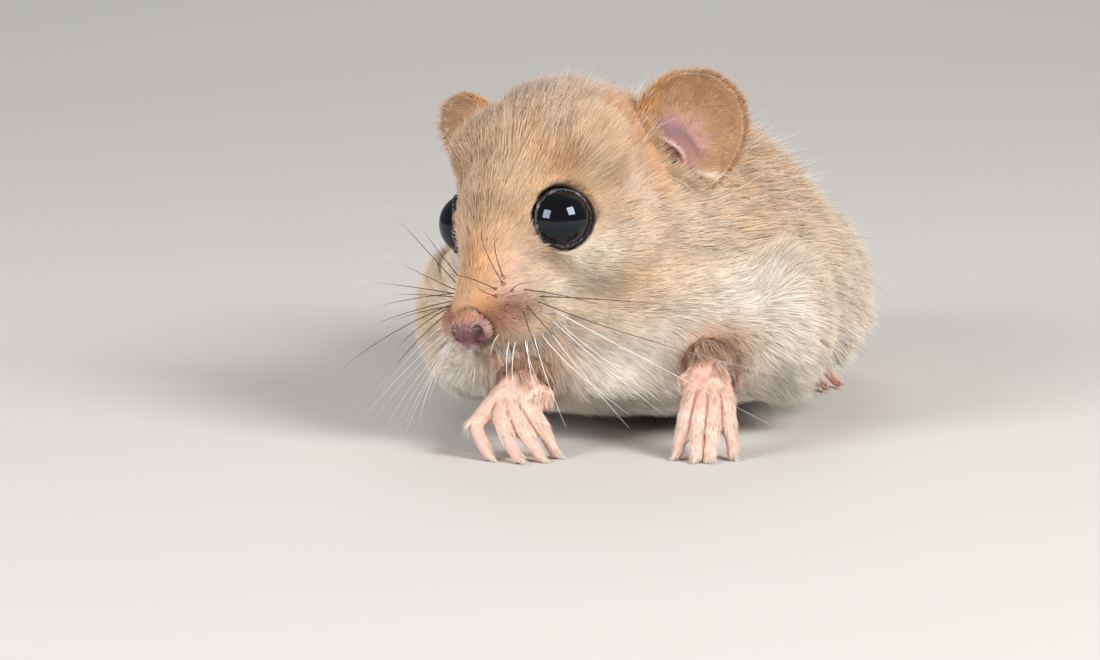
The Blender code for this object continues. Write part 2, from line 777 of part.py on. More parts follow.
def main():
    clear_scene()
    head, body, nose, eyes, ears = parted()

    legs, leg_cutters = [], []
    for word in ("right", "left"):
        for kind in ("hindleg", "foreleg"):
            cutter = limb_cutter(kind, word)
            leg = copied(body, f"{kind}_{word}")
            combined(leg, "INTERSECT", [cutter])
            removed(cutter)
            legs.append(leg)
            leg_cutters.append(limb_cutter(kind, word, GAP / MM))
    neck = copied(body, "neck")
    sliced(neck, NECK_FOOT * MM, -NECK_WAY)
    combined(neck, "DIFFERENCE", leg_cutters)
    torso = body
    torso.name = "torso"
    sliced(torso, NECK_FOOT * MM - NECK_WAY * GAP, NECK_WAY)
    combined(torso, "DIFFERENCE", leg_cutters)

    feet = [hindfoot("hindfoot_right", -1), hindfoot("hindfoot_left", 1)]
    hands = [forepaw("forepaw_right"), forepaw("forepaw_left")]
    for obj in (*feet, *hands):
        cutter = grown(obj)
        for leg in legs:
            combined(leg, "DIFFERENCE", [cutter])
        combined(torso, "DIFFERENCE", [cutter])
        combined(neck, "DIFFERENCE", [cutter])
        if obj in hands:
            combined(head, "DIFFERENCE", [cutter])
        removed(cutter)
    for leg in legs:
        largest_body(leg)
    tail = bushy_tail()
    plain_tail = tail_tube("plain_tail", TAIL_CORE)
    tail_cutter = grown(plain_tail)
    removed(plain_tail)
    combined(torso, "DIFFERENCE", [tail_cutter])
    removed(tail_cutter)
    for obj in (head, neck, torso):
        largest_body(obj)
    removed(*leg_cutters)
    centred([head, nose, *eyes, *ears, neck, torso, *legs, *hands, *feet, *tail])


main()
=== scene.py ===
import math

import bmesh
import bpy
import numpy as np
from mathutils import Euler, Matrix, Vector
from mathutils.bvhtree import BVHTree
from mathutils.kdtree import KDTree


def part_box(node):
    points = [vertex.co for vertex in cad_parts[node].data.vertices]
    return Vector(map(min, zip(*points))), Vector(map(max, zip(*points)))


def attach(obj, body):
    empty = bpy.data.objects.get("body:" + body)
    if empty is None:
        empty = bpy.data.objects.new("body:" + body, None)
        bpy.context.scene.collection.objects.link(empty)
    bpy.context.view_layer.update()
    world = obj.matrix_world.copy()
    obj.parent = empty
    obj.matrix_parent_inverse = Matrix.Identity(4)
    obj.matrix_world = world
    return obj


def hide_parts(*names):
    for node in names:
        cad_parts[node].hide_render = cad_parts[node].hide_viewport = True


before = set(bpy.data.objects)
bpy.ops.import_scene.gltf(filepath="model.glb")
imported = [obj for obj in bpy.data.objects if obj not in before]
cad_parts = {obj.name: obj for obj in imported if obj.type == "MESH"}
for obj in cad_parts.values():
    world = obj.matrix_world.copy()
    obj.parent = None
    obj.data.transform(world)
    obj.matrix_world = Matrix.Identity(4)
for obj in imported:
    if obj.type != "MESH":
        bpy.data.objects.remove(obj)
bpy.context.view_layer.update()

MM = 0.001
CHANCE = np.random.default_rng(17)

FLESH = ("head", "neck", "torso", "foreleg_left", "foreleg_right", "hindleg_left", "hindleg_right")
TAIL = ("tail_base", "tail_middle", "tail_tip")

# The head's own frame, in millimetres: x to its left, y back from the nose, z up
HEAD_TILT = [math.radians(degrees) for degrees in (18, -7.5, -36)]
HEAD_TURN = np.array(Euler(HEAD_TILT, "YXZ").to_matrix())
EYE_BALL = np.array((4.811, -0.194, 0.035))
EYE_RADIUS = 2.6
EYE_AXIS = np.array((0.8152, -0.5094, 0.2756))
NOSE_TIP = np.array((0, -9.6, -5.6))
# The body's frame is the row's, with the head's turning point at this place
HEAD_IN_BODY = np.array((-7.5, 10.5, 18.4))
# How far the coat's lowest hair and the whiskers stay above the floor
COAT_FLOOR, WHISKER_FLOOR = 0.08, 0.4

# Both hands, from wrist to fingertips: each finger's knuckle, bend and tip, in body mm
HAND_BONES = {
    "right": (
        (-6.8, 4.9, 5.9),
        ((-9.7, 3.3, 3.7), (-10.9, 2.3, 2.7), (-9.6, 0.5, 0.34)),
        ((-8.7, 2.8, 3.4), (-8.2, 1.0, 1.8), (-7.1, -0.8, 0.34)),
        ((-7.6, 2.8, 3.4), (-6.6, 1.4, 2.0), (-5.4, -0.1, 0.34)),
        ((-6.7, 3.4, 4.2), (-5.5, 2.3, 3.0), (-4.2, 1.5, 0.34)),
    ),
    "left": (
        (8.4, 5.0, 7.1),
        ((6.9, 3.0, 4.6), (6.3, 1.8, 2.6), (5.7, 0.9, 0.34)),
        ((7.8, 2.6, 4.4), (7.4, 0.9, 2.3), (7.1, -0.3, 0.34)),
        ((8.7, 2.6, 4.4), (8.6, 0.9, 2.3), (8.5, -0.4, 0.34)),
        ((9.8, 3.0, 4.6), (10.1, 1.8, 2.6), (10.3, 0.8, 0.34)),
    ),
}


def middle_of(node):
    low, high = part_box(node)
    return (np.array(low) + np.array(high)) / 2


HEAD_AT = (middle_of("eye_left") + middle_of("eye_right")) / 2
HEAD_AT = HEAD_AT - HEAD_TURN @ (EYE_BALL * (0, 1, 1)) * MM
BODY_AT = HEAD_AT - HEAD_IN_BODY * MM


def to_head(points):
    return (points - HEAD_AT) @ HEAD_TURN / MM


def from_head(points):
    return np.asarray(points, float) * MM @ HEAD_TURN.T + HEAD_AT


def to_body(points):
    return (points - BODY_AT) / MM


def from_body(points):
    return np.asarray(points, float) * MM + BODY_AT


def folded(h):
    """Places on the head with its right half laid over its left."""
    return np.stack([np.abs(h[:, 0]), h[:, 1], h[:, 2]], 1)


def unit(vectors):
    return vectors / np.maximum(np.linalg.norm(vectors, axis=-1, keepdims=True), 1e-12)


def eased(low, high, value):
    """Rises smoothly from 0 at low to 1 at high."""
    t = np.clip((value - low) / (high - low), 0, 1)
    return t * t * (3 - 2 * t)


def near(points, place, reach):
    """1 at the place, falling smoothly to 0 at about twice the reach."""
    gap = (points - np.asarray(place, float)) / np.asarray(reach, float)
    return np.exp(-(gap**2).sum(-1))


def bell(value, middle, spread):
    """1 at the middle, falling smoothly to 0 at about twice the spread on either side."""
    return np.exp(-(((value - middle) / spread) ** 2))


def wander(points, grain, seed):
    """Smooth noise from -1 to 1 whose lumps are about a grain across, in the points' unit."""
    q = points / grain
    cell = np.floor(q).astype(np.int64)
    f = q - cell
    f = f * f * (3 - 2 * f)
    total = 0
    for corner in np.ndindex(2, 2, 2):
        i = cell + corner
        mix = i[:, 0] * 73856093 ^ i[:, 1] * 19349663 ^ i[:, 2] * 83492791 ^ seed * 2654435
        mix = (mix ^ (mix >> 13)) * 1274126177 & 0xFFFFFFFF
        mix = ((mix ^ (mix >> 16)) & 0xFFFF) / 65535
        share = np.prod(np.where(corner, f, 1 - f), axis=1)
        total = total + share * mix
    return total * 2 - 1


def wanders(points, grain, *seeds):
    """Three such noises, as the parts of a vector."""
    return np.stack([wander(points, grain, seed) for seed in seeds], 1)


# Colours


def colour(code):
    """A linear colour from its sRGB hex code."""
    parts = [int(code[i : i + 2], 16) / 255 for i in (0, 2, 4)]
    return np.array([c / 12.92 if c <= 0.04045 else ((c + 0.055) / 1.055) ** 2.4 for c in parts])


GOLD, DEEP_GOLD, PALE_GOLD, WRIST_GOLD_IN_PAINTED_SHADE = "D1A87C", "BE8C56", "DBC5AA", "B5773C"
BROWN, RUSSET, ORANGE, CREAM, WHITE = "9F7245", "94532F", "E0A266", "E1D6C6", "F1EADF"
MUZZLE_PINK, PAINTED_MOUTH_SHADOW, ASH, SPOT, SKIN_PINK = "E6C3B2", "6E5848", "BFA593", "8E4E50", "E5B5A4"

# The face's patches, its own colours except the cream one under the eye, which is painted light: colour,
# place with x as the distance from its middle, reach, share
FACE_PATCHES = (
    (ORANGE, (0, -6.6, -2.0), (2.4, 3.4, 2.6), 0.8),
    (MUZZLE_PINK, (2.7, -5.0, -1.6), (1.3, 1.6, 1.5), 0.45),
    (MUZZLE_PINK, (4.2, -3.0, -1.0), (1.0, 1.0, 1.0), 0.35),
    (BROWN, (5.3, 2.0, 3.7), (1.7, 1.9, 1.0), 0.75),
    (BROWN, (7.2, 3.0, 1.4), (1.3, 1.6, 1.4), 0.3),
    (ORANGE, (1.6, -8.6, -3.8), (1.3, 1.2, 1.3), 0.85),
    (MUZZLE_PINK, (3.1, -6.5, -3.5), (1.5, 1.6, 0.9), 0.7),
    (RUSSET, (2.3, -8.2, -5.0), (1.5, 1.7, 1.3), 0.9),
    (RUSSET, (2.9, -7.2, -4.9), (1.8, 1.7, 1.1), 0.7),
    (CREAM, (5.2, -3.4, -5.4), (1.5, 1.8, 1.5), 0.8),
    # Painted light: a paler patch under the eye that lifts the shade where the cheek turns down
    (CREAM, (6.6, -0.4, -3.0), (2.2, 2.4, 1.8), 0.7),
    (GOLD, (8.6, 1.0, -6.6), (2.0, 4.0, 2.2), 0.5),
    (ASH, (0, 7.5, 9.0), (9.0, 4.0, 2.6), 0.8),
    (WHITE, (2.6, -7.4, -7.2), (2.6, 2.6, 0.5), 0.6),
    (MUZZLE_PINK, (8.4, 6.0, 0.2), (1.2, 1.4, 2.2), 0.6),
    (ORANGE, (6.2, 9.6, 4.6), (1.8, 2.0, 2.6), 0.7),
    (ORANGE, (8.4, 8.9, 0.4), (1.3, 1.5, 2.2), 0.85),
)
# The line of the mouth on the left side, from its corner to the lips' middle
LIP_LINE = np.array(
    ((4.4, -2.6, -7.7), (3.7, -4.4, -7.9), (3.0, -6.2, -8.1), (2.1, -7.3, -8.0), (1.2, -8.4, -7.8))
)


def blended(base, other, share):
    return base + (other - base) * share[:, None]


def painted(base, *layers):
    """The base colours with each layer's colour laid over them by its share."""
    for code, share in layers:
        base = blended(base, colour(code), share)
    return base


def plain(code, points):
    return np.repeat(colour(code)[None], len(points), 0)


def face_share(points):
    """1 on the head, falling to 0 past the nape."""
    h = to_head(points)
    return 1 - eased(8, 18, h[:, 1] - 0.3 * h[:, 2])


def markings(points):
    """The coat's colour at each place: golden above, cream below, orange on the muzzle, with painted
    light and shade on the face and wrists.
    """
    h, b = to_head(points), to_body(points)
    drift, fine = wander(b, 5.0, 1), wander(b, 1.6, 2)
    # Body: golden back, paler flanks, cream under them
    height = b[:, 2] + 1.8 * drift
    tone = painted(
        plain(GOLD, points),
        (PALE_GOLD, (1 - eased(13, 24, height)) * 0.9),
        (CREAM, 1 - eased(3, 17, height)),
        (WHITE, (1 - eased(1, 7, height)) * 0.6),
        (DEEP_GOLD, eased(20, 27, height) * eased(20, 34, b[:, 1]) * 0.5),
    )
    # Head, laid over the body's colour in front of the nape
    m = folded(h)
    lift = h[:, 2] + 0.9 * drift + 0.4 * fine
    lip = np.min([np.linalg.norm((m - spot) / (0.7, 0.7, 0.4), axis=1) for spot in LIP_LINE], 0)
    patches = (
        (tint, np.clip(near(m, place, reach) * share, 0, 0.95))
        for tint, place, reach, share in FACE_PATCHES
    )
    face = painted(
        plain(GOLD, points),
        (PALE_GOLD, 0.2 + 0.3 * fine),
        (DEEP_GOLD, eased(6, 9.5, h[:, 2]) * 0.25),
        (PALE_GOLD, (1 - eased(-5, 1.5, lift)) * 0.8),
        (CREAM, 1 - eased(-11.0, -6.4, lift + 0.05 * m[:, 0])),
        (WHITE, (1 - eased(-12, -9.5, lift)) * 0.5),
        *patches,
        # A painted shadow: a thin dark band along the line of the mouth
        (PAINTED_MOUTH_SHADOW, bell(lip, 0, 1) * 0.8),
    )
    tone = blended(tone, face, 1 - eased(11, 16, h[:, 1] - 0.25 * h[:, 2]))
    # Short orange hair over each wrist, its own colour darkened with painted shade
    for word in ("left", "right"):
        over = near(b, np.array(HAND_BONES[word][0]) + (0, 1.2, 1.2), (3.4, 4.2, 2.8))
        tone = painted(tone, (WRIST_GOLD_IN_PAINTED_SHADE, over * 0.95))
    shade = 1 + 0.06 * drift + 0.05 * fine
    return np.clip(tone * shade[:, None], 0, 1)


def coat_depth(points):
    """How far the skin lies under the coat's outline, in millimetres."""
    h, b = to_head(points), to_body(points)
    depth = 1.0 - 0.35 * face_share(points)
    depth = depth * (1 - 0.75 * (1 - eased(1.0, 4.5, b[:, 2])))
    for place, reach in ((NOSE_TIP, 4.0), (EYE_BALL, 3.0), (EYE_BALL * (-1, 1, 1), 3.0)):
        gap = np.linalg.norm(h - place, axis=1)
        depth = depth * eased(0.6 * reach, 1.75 * reach, gap)
    return depth * (1 - 0.5 * near(h, (0, -7, -5), (5, 4.5, 4)))


# Meshes


def mesh_arrays(mesh):
    """The mesh's corners, triangles and corner normals as arrays."""
    mesh.calc_loop_triangles()
    corners = np.empty(len(mesh.vertices) * 3)
    mesh.vertices.foreach_get("co", corners)
    normals = np.empty(len(mesh.vertices) * 3)
    mesh.vertices.foreach_get("normal", normals)
    tris = np.empty(len(mesh.loop_triangles) * 3, np.int32)
    mesh.loop_triangles.foreach_get("vertices", tris)
    return corners.reshape(-1, 3), tris.reshape(-1, 3), normals.reshape(-1, 3)


def placed(name, mesh, material):
    obj = bpy.data.objects.new(name, mesh)
    bpy.context.scene.collection.objects.link(obj)
    mesh.materials.clear()
    mesh.materials.append(material)
    return obj


def moved(obj, corners):
    """Puts the piece's corners at new places."""
    obj.data.vertices.foreach_set("co", corners.ravel())
    obj.data.update()


def above_floor(points, height):
    points[:, 2] = np.maximum(points[:, 2], height * MM)
    return points


def applied(obj):
    """The object with its modifiers turned into a plain mesh."""
    graph = bpy.context.evaluated_depsgraph_get()
    mesh = bpy.data.meshes.new_from_object(obj.evaluated_get(graph))
    obj.modifiers.clear()
    obj.data = mesh
    return obj


def softened(obj, iterations, group=""):
    soften = obj.modifiers.new("Soften", "SMOOTH")
    soften.factor = 0.5
    soften.iterations = iterations
    soften.vertex_group = group


def remeshed(obj, voxel, smoothing):
    remesh = obj.modifiers.new("Fuse", "REMESH")
    remesh.mode = "VOXEL"
    remesh.voxel_size = voxel * MM
    remesh.use_smooth_shade = True
    softened(obj, smoothing)
    return applied(obj)


def merged_copy(name, nodes, material, swell=0.0):
    """The CAD nodes' surfaces as one mesh, each let out a little so that they meet."""
    bm = bmesh.new()
    for node_name in nodes:
        bm.from_mesh(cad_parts[node_name].data)
    bmesh.ops.remove_doubles(bm, verts=bm.verts, dist=1e-6)
    bm.normal_update()
    if swell:
        ways = [v.normal.copy() for v in bm.verts]
        for v, way in zip(bm.verts, ways):
            v.co += way * swell * MM
    mesh = bpy.data.meshes.new(name)
    bm.to_mesh(mesh)
    bm.free()
    return placed(name, mesh, material)


def tinted(mesh, tones):
    """Stores a colour for each of the mesh's corners."""
    layer = mesh.color_attributes.new("coat_colour", "FLOAT_COLOR", "POINT")
    full = np.ones((len(mesh.vertices), 4), np.float32)
    full[:, :3] = tones
    layer.data.foreach_set("color", full.ravel())


def closed_mesh(name, corners, faces, tones=None):
    """A smooth mesh with its doubles merged and its faces turned outwards."""
    mesh = bpy.data.meshes.new(name)
    mesh.from_pydata([tuple(c) for c in corners], [], faces)
    if tones is not None:
        tinted(mesh, tones)
    bm = bmesh.new()
    bm.from_mesh(mesh)
    bmesh.ops.remove_doubles(bm, verts=bm.verts, dist=1e-7)
    bmesh.ops.recalc_face_normals(bm, faces=bm.faces)
    bm.to_mesh(mesh)
    bm.free()
    mesh.shade_smooth()
    return mesh


def ring_faces(rings, sides, first=0):
    """Four-sided faces between rings of points that follow one another."""
    return [
        (a + j, a + (j + 1) % sides, a + sides + (j + 1) % sides, a + sides + j)
        for a in range(first, first + (rings - 1) * sides, sides)
        for j in range(sides)
    ]


def capped_faces(rings, sides, first=0):
    """The same with both ends closed."""
    last = first + (rings - 1) * sides
    ends = [tuple(range(first, first + sides)), tuple(range(last, last + sides))]
    return ring_faces(rings, sides, first) + ends


# Materials


def node(tree, kind, settings=(), links=()):
    """Adds a shader node, sets its sockets or properties, and links others into it."""
    made = tree.nodes.new(kind)
    for key, value in dict(settings).items():
        if isinstance(key, str) and hasattr(made, key) and key not in made.inputs:
            setattr(made, key, value)
        else:
            made.inputs[key].default_value = value
    for key, source in dict(links).items():
        tree.links.new(source, made.inputs[key])
    return made


def shader_of(name, **sockets):
    """A new material and its Principled shader, with the given socket values."""
    material = bpy.data.materials.new(name)
    material.use_nodes = True
    tree = material.node_tree
    shader = tree.nodes["Principled BSDF"]
    for key, value in sockets.items():
        shader.inputs[key.replace("_", " ")].default_value = value
    return material, tree, shader


def grain(tree, lump, detail, roughness=0.5):
    """Noise in object space, whose lumps have the given size in millimetres."""
    place = node(tree, "ShaderNodeTexCoord")
    settings = {"Scale": 1 / (lump * MM), "Detail": detail, "Roughness": roughness}
    return node(tree, "ShaderNodeTexNoise", settings, {"Vector": place.outputs["Object"]})


def own_colour(tree):
    return node(tree, "ShaderNodeVertexColor", {"layer_name": "coat_colour"}).outputs["Color"]


def streaked(tree, shader, pattern, low, high):
    """The piece's own colour, made darker and lighter by a pattern."""
    ends = {"From Min": 0.3, "From Max": 0.7, "To Min": low, "To Max": high}
    share = node(tree, "ShaderNodeMapRange", ends, {"Value": pattern.outputs["Fac"]})
    settings = {"data_type": "RGBA", "blend_type": "MULTIPLY", "factor_mode": "UNIFORM", 0: 1.0}
    parts = {6: own_colour(tree), 7: share.outputs["Result"]}
    mixed = node(tree, "ShaderNodeMix", settings, parts)
    tree.links.new(mixed.outputs[2], shader.inputs["Base Color"])


def bumped(tree, shader, pattern, strength, height):
    """Raises the surface by a pattern, by the given height in millimetres."""
    settings = {"Strength": strength, "Distance": height * MM}
    raised = node(tree, "ShaderNodeBump", settings, {"Height": pattern.outputs["Fac"]})
    tree.links.new(raised.outputs["Normal"], shader.inputs["Normal"])


def ramped(tree, shader, pattern, *codes):
    """A colour between two, by a pattern."""
    ramp = node(tree, "ShaderNodeValToRGB", {}, {"Fac": pattern.outputs["Fac"]})
    for stop, code in zip(ramp.color_ramp.elements, codes):
        stop.color = (*colour(code), 1)
    tree.links.new(ramp.outputs["Color"], shader.inputs["Base Color"])


def hair_material(name, roughness, sheen, worn=0.18):
    """Dry keratin hair: soft, matt, a faint sheen, each tuft a little lighter or darker."""
    sockets = {"Sheen_Weight": sheen, "Sheen_Roughness": 0.4, "Specular_IOR_Level": 0.25}
    material, tree, shader = shader_of(name, Roughness=roughness, **sockets)
    streaked(tree, shader, grain(tree, 2.2, 4.0), 1 - worn, 1 + worn * 0.6)
    return material


def skin_material(name, roughness, bump, pore):
    """Living skin: a soft translucent red under fine pores and creases."""
    glow = {"Subsurface_Weight": 0.25, "Subsurface_Radius": (1.0, 0.35, 0.2)}
    glow["Subsurface_Scale"] = 0.6 * MM
    material, tree, shader = shader_of(name, Roughness=roughness, **glow)
    tree.links.new(own_colour(tree), shader.inputs["Base Color"])
    bumped(tree, shader, grain(tree, pore, 5.0, 0.6), bump, 0.06)
    return material


def under_coat_material():
    """Dense short underfur: a matt felt of hair that fills in between the tufts."""
    sockets = {"Roughness": 0.9, "Sheen_Weight": 0.2, "Specular_IOR_Level": 0.1}
    material, tree, shader = shader_of("dense underfur", **sockets)
    streaks = grain(tree, 0.28, 4.0, 0.7)
    streaked(tree, shader, streaks, 0.82, 1.0)
    bumped(tree, shader, streaks, 0.5, 0.1)
    return material


def wet_eye_material():
    """A wet, almost black eye, dark brown where light enters it."""
    shine = {"Specular_IOR_Level": 0.85, "Specular_Tint": (*colour("DCEBFF"), 1)}
    material, tree, shader = shader_of("wet black eye", Roughness=0.05, IOR=1.38, **shine)
    ramped(tree, shader, grain(tree, 1.5, 2.0), "020203", "090605")
    return material


def horn_material():
    """Thin translucent horn of a claw, pale with a warm core."""
    material, tree, shader = shader_of("claw horn", Roughness=0.3)
    ramped(tree, shader, grain(tree, 0.4, 3.0), "B98E78", "E6CFBC")
    return material


UNDERFUR = under_coat_material()
FUR = hair_material("golden guard hair", 0.62, 0.25)
WHISKER_HAIR = hair_material("whisker bristle", 0.35, 0.1, 0.05)
BARE_SKIN = skin_material("thin bare skin", 0.5, 0.5, 0.3)
NOSE_SKIN = skin_material("moist nose leather", 0.38, 1.0, 0.13)
EAR_SKIN = skin_material("thin ear skin", 0.6, 0.35, 0.25)
EYE_GLOSS = wet_eye_material()
LID_SKIN = skin_material("dark wet lid", 0.25, 0.5, 0.2)
HORN = horn_material()


# Skin


def clear_of_eyes(points, margin=0.18):
    """Moves what would lie inside an eyeball out to its surface."""
    for sign in (1, -1):
        ball = from_head(EYE_BALL * (sign, 1, 1))
        gap = points - ball
        inside = np.linalg.norm(gap, axis=1) < (EYE_RADIUS + margin) * MM
        points[inside] = ball + unit(gap[inside]) * (EYE_RADIUS + margin) * MM
    return points


def body_skin():
    """One skin for all the flesh, pushed in under the coat's outline."""
    obj = remeshed(merged_copy("body_skin", FLESH, UNDERFUR, swell=0.2), 0.36, 9)
    corners, _, normals = mesh_arrays(obj.data)
    corners = corners - normals * ((0.12 + coat_depth(corners)) * MM)[:, None]
    moved(obj, corners)
    b = to_body(corners)
    slack = near(b, (12.0, 12.0, 13.0), (6, 6, 5)) + near(b, (-10.0, 16.0, 13.0), (6, 6, 5))
    loose = obj.vertex_groups.new(name="loose skin of the shoulders")
    for level in range(1, 11):
        chosen = np.nonzero((slack * 10).astype(int) == level)[0]
        loose.add(chosen.tolist(), level / 10, "REPLACE")
    softened(obj, 4)
    softened(obj, 60, loose.name)
    corners = clear_of_eyes(mesh_arrays(applied(obj).data)[0], 0.12)
    moved(obj, above_floor(corners, 0.35))
    # The skin under the coat is coloured a tenth darker than the coat: painted shade deep in the fur
    tinted(obj.data, markings(corners) * 0.9)
    return obj


# The tail's middle line and its coat's radii at even steps, in body millimetres
TAIL_WAY = np.array(
    (
        (3.3, 60.0, 8.0),
        (3.6, 68.0, 5.8),
        (5.0, 80.5, 4.3),
        (5.8, 93.0, 4.0),
        (4.2, 105.0, 3.5),
        (-1.2, 115.5, 1.7),
    )
)
TAIL_RADII = (3.0, 3.7, 4.0, 4.0, 3.6, 2.9, 0.7)


def tail_line(share):
    """The tail's middle line and its coat's radius, by share of its way."""
    way = TAIL_WAY
    ends = np.vstack([2 * way[0] - way[1], way, 2 * way[-1] - way[-2]])
    t = np.clip(share, 0, 1) * (len(way) - 1)
    i = np.minimum(t.astype(int), len(way) - 2)
    u = (t - i)[:, None]
    a, b, c, d = ends[i], ends[i + 1], ends[i + 2], ends[i + 3]
    line = 2 * b + (c - a) * u + (2 * a - 5 * b + 4 * c - d) * u**2 + (3 * b - a - 3 * c + d) * u**3
    return 0.5 * line, np.interp(share, np.linspace(0, 1, len(TAIL_RADII)), TAIL_RADII)


def tail_skin(thin=0.42, rings=90, sides=28):
    """The tail's own skin, a slim tube under its bushy coat."""
    line, radius = tail_line(np.linspace(-0.04, 0.985, rings))
    along = unit(np.gradient(line, axis=0))
    across = unit(np.cross(along, (0, 0, 1)))
    above = np.cross(across, along)
    turn = np.linspace(0, 2 * np.pi, sides, endpoint=False)[None, :, None]
    ring = across[:, None] * np.cos(turn) + above[:, None] * np.sin(turn)
    points = line[:, None] + ring * (radius * thin)[:, None, None]
    points[..., 2] = np.maximum(points[..., 2], 0.3)
    corners = from_body(points.reshape(-1, 3))
    last = (rings - 1) * sides
    ends = [tuple(range(sides)), tuple(range(last + sides - 1, last - 1, -1))]
    faces = ring_faces(rings, sides) + ends
    # The tail's core is coloured much darker than its hair: painted shade under the long coat
    mesh = closed_mesh("tail_skin", corners, faces, tail_tone(corners) * 0.6)
    return placed("tail_skin", mesh, UNDERFUR)


def tail_tone(points):
    """Like the rump at its root, then golden brown, a little paler below, darker at the tip."""
    b = to_body(points)
    drift = wander(b, 3.0, 5)
    tone = painted(
        plain(GOLD, points) * 0.92,
        (DEEP_GOLD, eased(66, 112, b[:, 1] + 4 * drift) * 0.75),
        (PALE_GOLD, (1 - eased(1.0, 4.5, b[:, 2])) * 0.5),
    )
    tone = np.clip(tone * (1 + 0.1 * drift)[:, None], 0, 1)
    return blended(tone, markings(points), 1 - eased(60, 67, b[:, 1]))


# Coat


def unwrapped(obj):
    """A coarse copy of the skin, laid out flat, to find each tuft's place on the map."""
    twin = obj.copy()
    twin.data = obj.data.copy()
    bpy.context.scene.collection.objects.link(twin)
    thin = twin.modifiers.new("Thin", "DECIMATE")
    thin.ratio = min(1.0, 5000 / (2 * len(twin.data.polygons)))
    applied(twin)
    bpy.ops.object.select_all(action="DESELECT")
    twin.select_set(True)
    bpy.context.view_layer.objects.active = twin
    bpy.ops.object.mode_set(mode="EDIT")
    bpy.ops.mesh.select_all(action="SELECT")
    bpy.ops.mesh.quads_convert_to_tris()
    bpy.ops.uv.smart_project(angle_limit=math.radians(66), island_margin=0.004)
    bpy.ops.object.mode_set(mode="OBJECT")
    mesh = twin.data
    flat = np.empty(len(mesh.loops) * 2)
    mesh.uv_layers.active.data.foreach_get("uv", flat)
    corners = mesh_arrays(mesh)[0]
    faces = np.empty(len(mesh.loops), np.int32)
    mesh.loops.foreach_get("vertex_index", faces)
    faces = faces.reshape(-1, 3)
    tree = BVHTree.FromPolygons(corners.tolist(), faces.tolist())
    bpy.data.objects.remove(twin, do_unlink=True)
    return tree, corners[faces], flat.reshape(-1, 3, 2)


def map_places(chart, points):
    """Each point's place on the skin's flat layout."""
    tree, shapes, flat = chart
    found = [tree.find_nearest(Vector(p)) for p in points]
    index = np.array([f[2] for f in found])
    spot = np.array([tuple(f[0]) for f in found])
    a, b, c = shapes[index, 0], shapes[index, 1], shapes[index, 2]
    e, f, g = b - a, c - a, spot - a
    d00, d01, d11 = (e * e).sum(1), (e * f).sum(1), (f * f).sum(1)
    d20, d21 = (g * e).sum(1), (g * f).sum(1)
    base = np.maximum(d00 * d11 - d01 * d01, 1e-30)
    v = (d11 * d20 - d01 * d21) / base
    w = (d00 * d21 - d01 * d20) / base
    share = np.stack([1 - v - w, v, w], 1)
    return (flat[index] * share[:, :, None]).sum(1)


def scattered(obj, density):
    """Roots spread at random over a piece, as many a square millimetre as density says."""
    corners, tris, normals = mesh_arrays(obj.data)
    a, b, c = corners[tris[:, 0]], corners[tris[:, 1]], corners[tris[:, 2]]
    area = np.linalg.norm(np.cross(b - a, c - a), axis=1) / 2 / MM**2
    wanted = density((a + b + c) / 3) if callable(density) else density
    expected = area * np.maximum(wanted, 0)
    count = int(expected.sum())
    chosen = CHANCE.choice(len(tris), count, p=expected / expected.sum())
    u, v = CHANCE.random(count), CHANCE.random(count)
    over = u + v > 1
    u[over], v[over] = 1 - u[over], 1 - v[over]
    t = tris[chosen]
    share = np.stack([1 - u - v, u, v], 1)[:, :, None]
    return (corners[t] * share).sum(1), unit((normals[t] * share).sum(1))


def laid(way, up):
    """The ways laid flat on the skin."""
    return unit(way - up * (way * up).sum(1)[:, None])


def lie_of_coat(points, normals):
    """Which way the hair lies: back from the nose, along the body and down the flanks."""
    h, b = to_head(points), to_body(points)
    away = unit(h - (0, -12.0, -4.0))
    away[:, 2] -= 0.25 * (1 - eased(-4, 3, h[:, 2]))
    away[:, 1] += 0.25
    away = unit(away) @ HEAD_TURN.T
    side = np.sign(b[:, 0] - 3.5) * eased(1, 10, np.abs(b[:, 0] - 3.5))
    front = eased(-0.35, 1.0, -normals[:, 1])
    down = front * (1 - eased(7, 16, b[:, 2]))
    body = np.stack([side * (0.25 + 1.0 * front), np.ones(len(b)), -0.42 * np.abs(side) - down], 1)
    on_leg = near(b, (3.5, 44, 6), (40, 13, 8)) * eased(9, 15, np.abs(b[:, 0] - 5))
    body[:, 2] -= 0.5 * on_leg
    way = blended(unit(body), away, face_share(points))
    for bones in HAND_BONES.values():
        over = near(b, np.array(bones[0]) + (0, 1.0, 1.2), (4.2, 4.2, 3.4))
        way = blended(way, np.array((0, -0.6, -0.8)), over)
    way = way + 0.16 * wanders(b, 3.2, 11, 12, 13) + 0.15 * wanders(b, 0.9, 14, 15, 16)
    return laid(way, normals)


def strand_ends(root, up, lie, length, lift, drop, sway):
    """The middle and the tip of each tuft, bent from its lift back to the skin."""
    side = np.cross(lie, up)
    half = (length * MM / 2)[:, None]

    def heading(rise, swing):
        return unit(lie * np.cos(rise)[:, None] + up * np.sin(rise)[:, None] + side * swing[:, None])

    middle = root + heading(lift, sway * 0.4) * half
    return middle, middle + heading(lift - drop, sway) * half


def gathered(root, tip, spacing, pull):
    """Draws the tips towards those of their nearest leader, so that the coat falls in locks."""
    keys = np.floor(root / (spacing * MM)).astype(int)
    leaders = np.unique(keys, axis=0, return_index=True)[1]
    tree = KDTree(len(leaders))
    for k, i in enumerate(leaders):
        tree.insert(root[i], k)
    tree.balance()
    nearest = leaders[[tree.find(p)[1] for p in root]]
    return tip + (tip[nearest] - tip) * pull[:, None], nearest


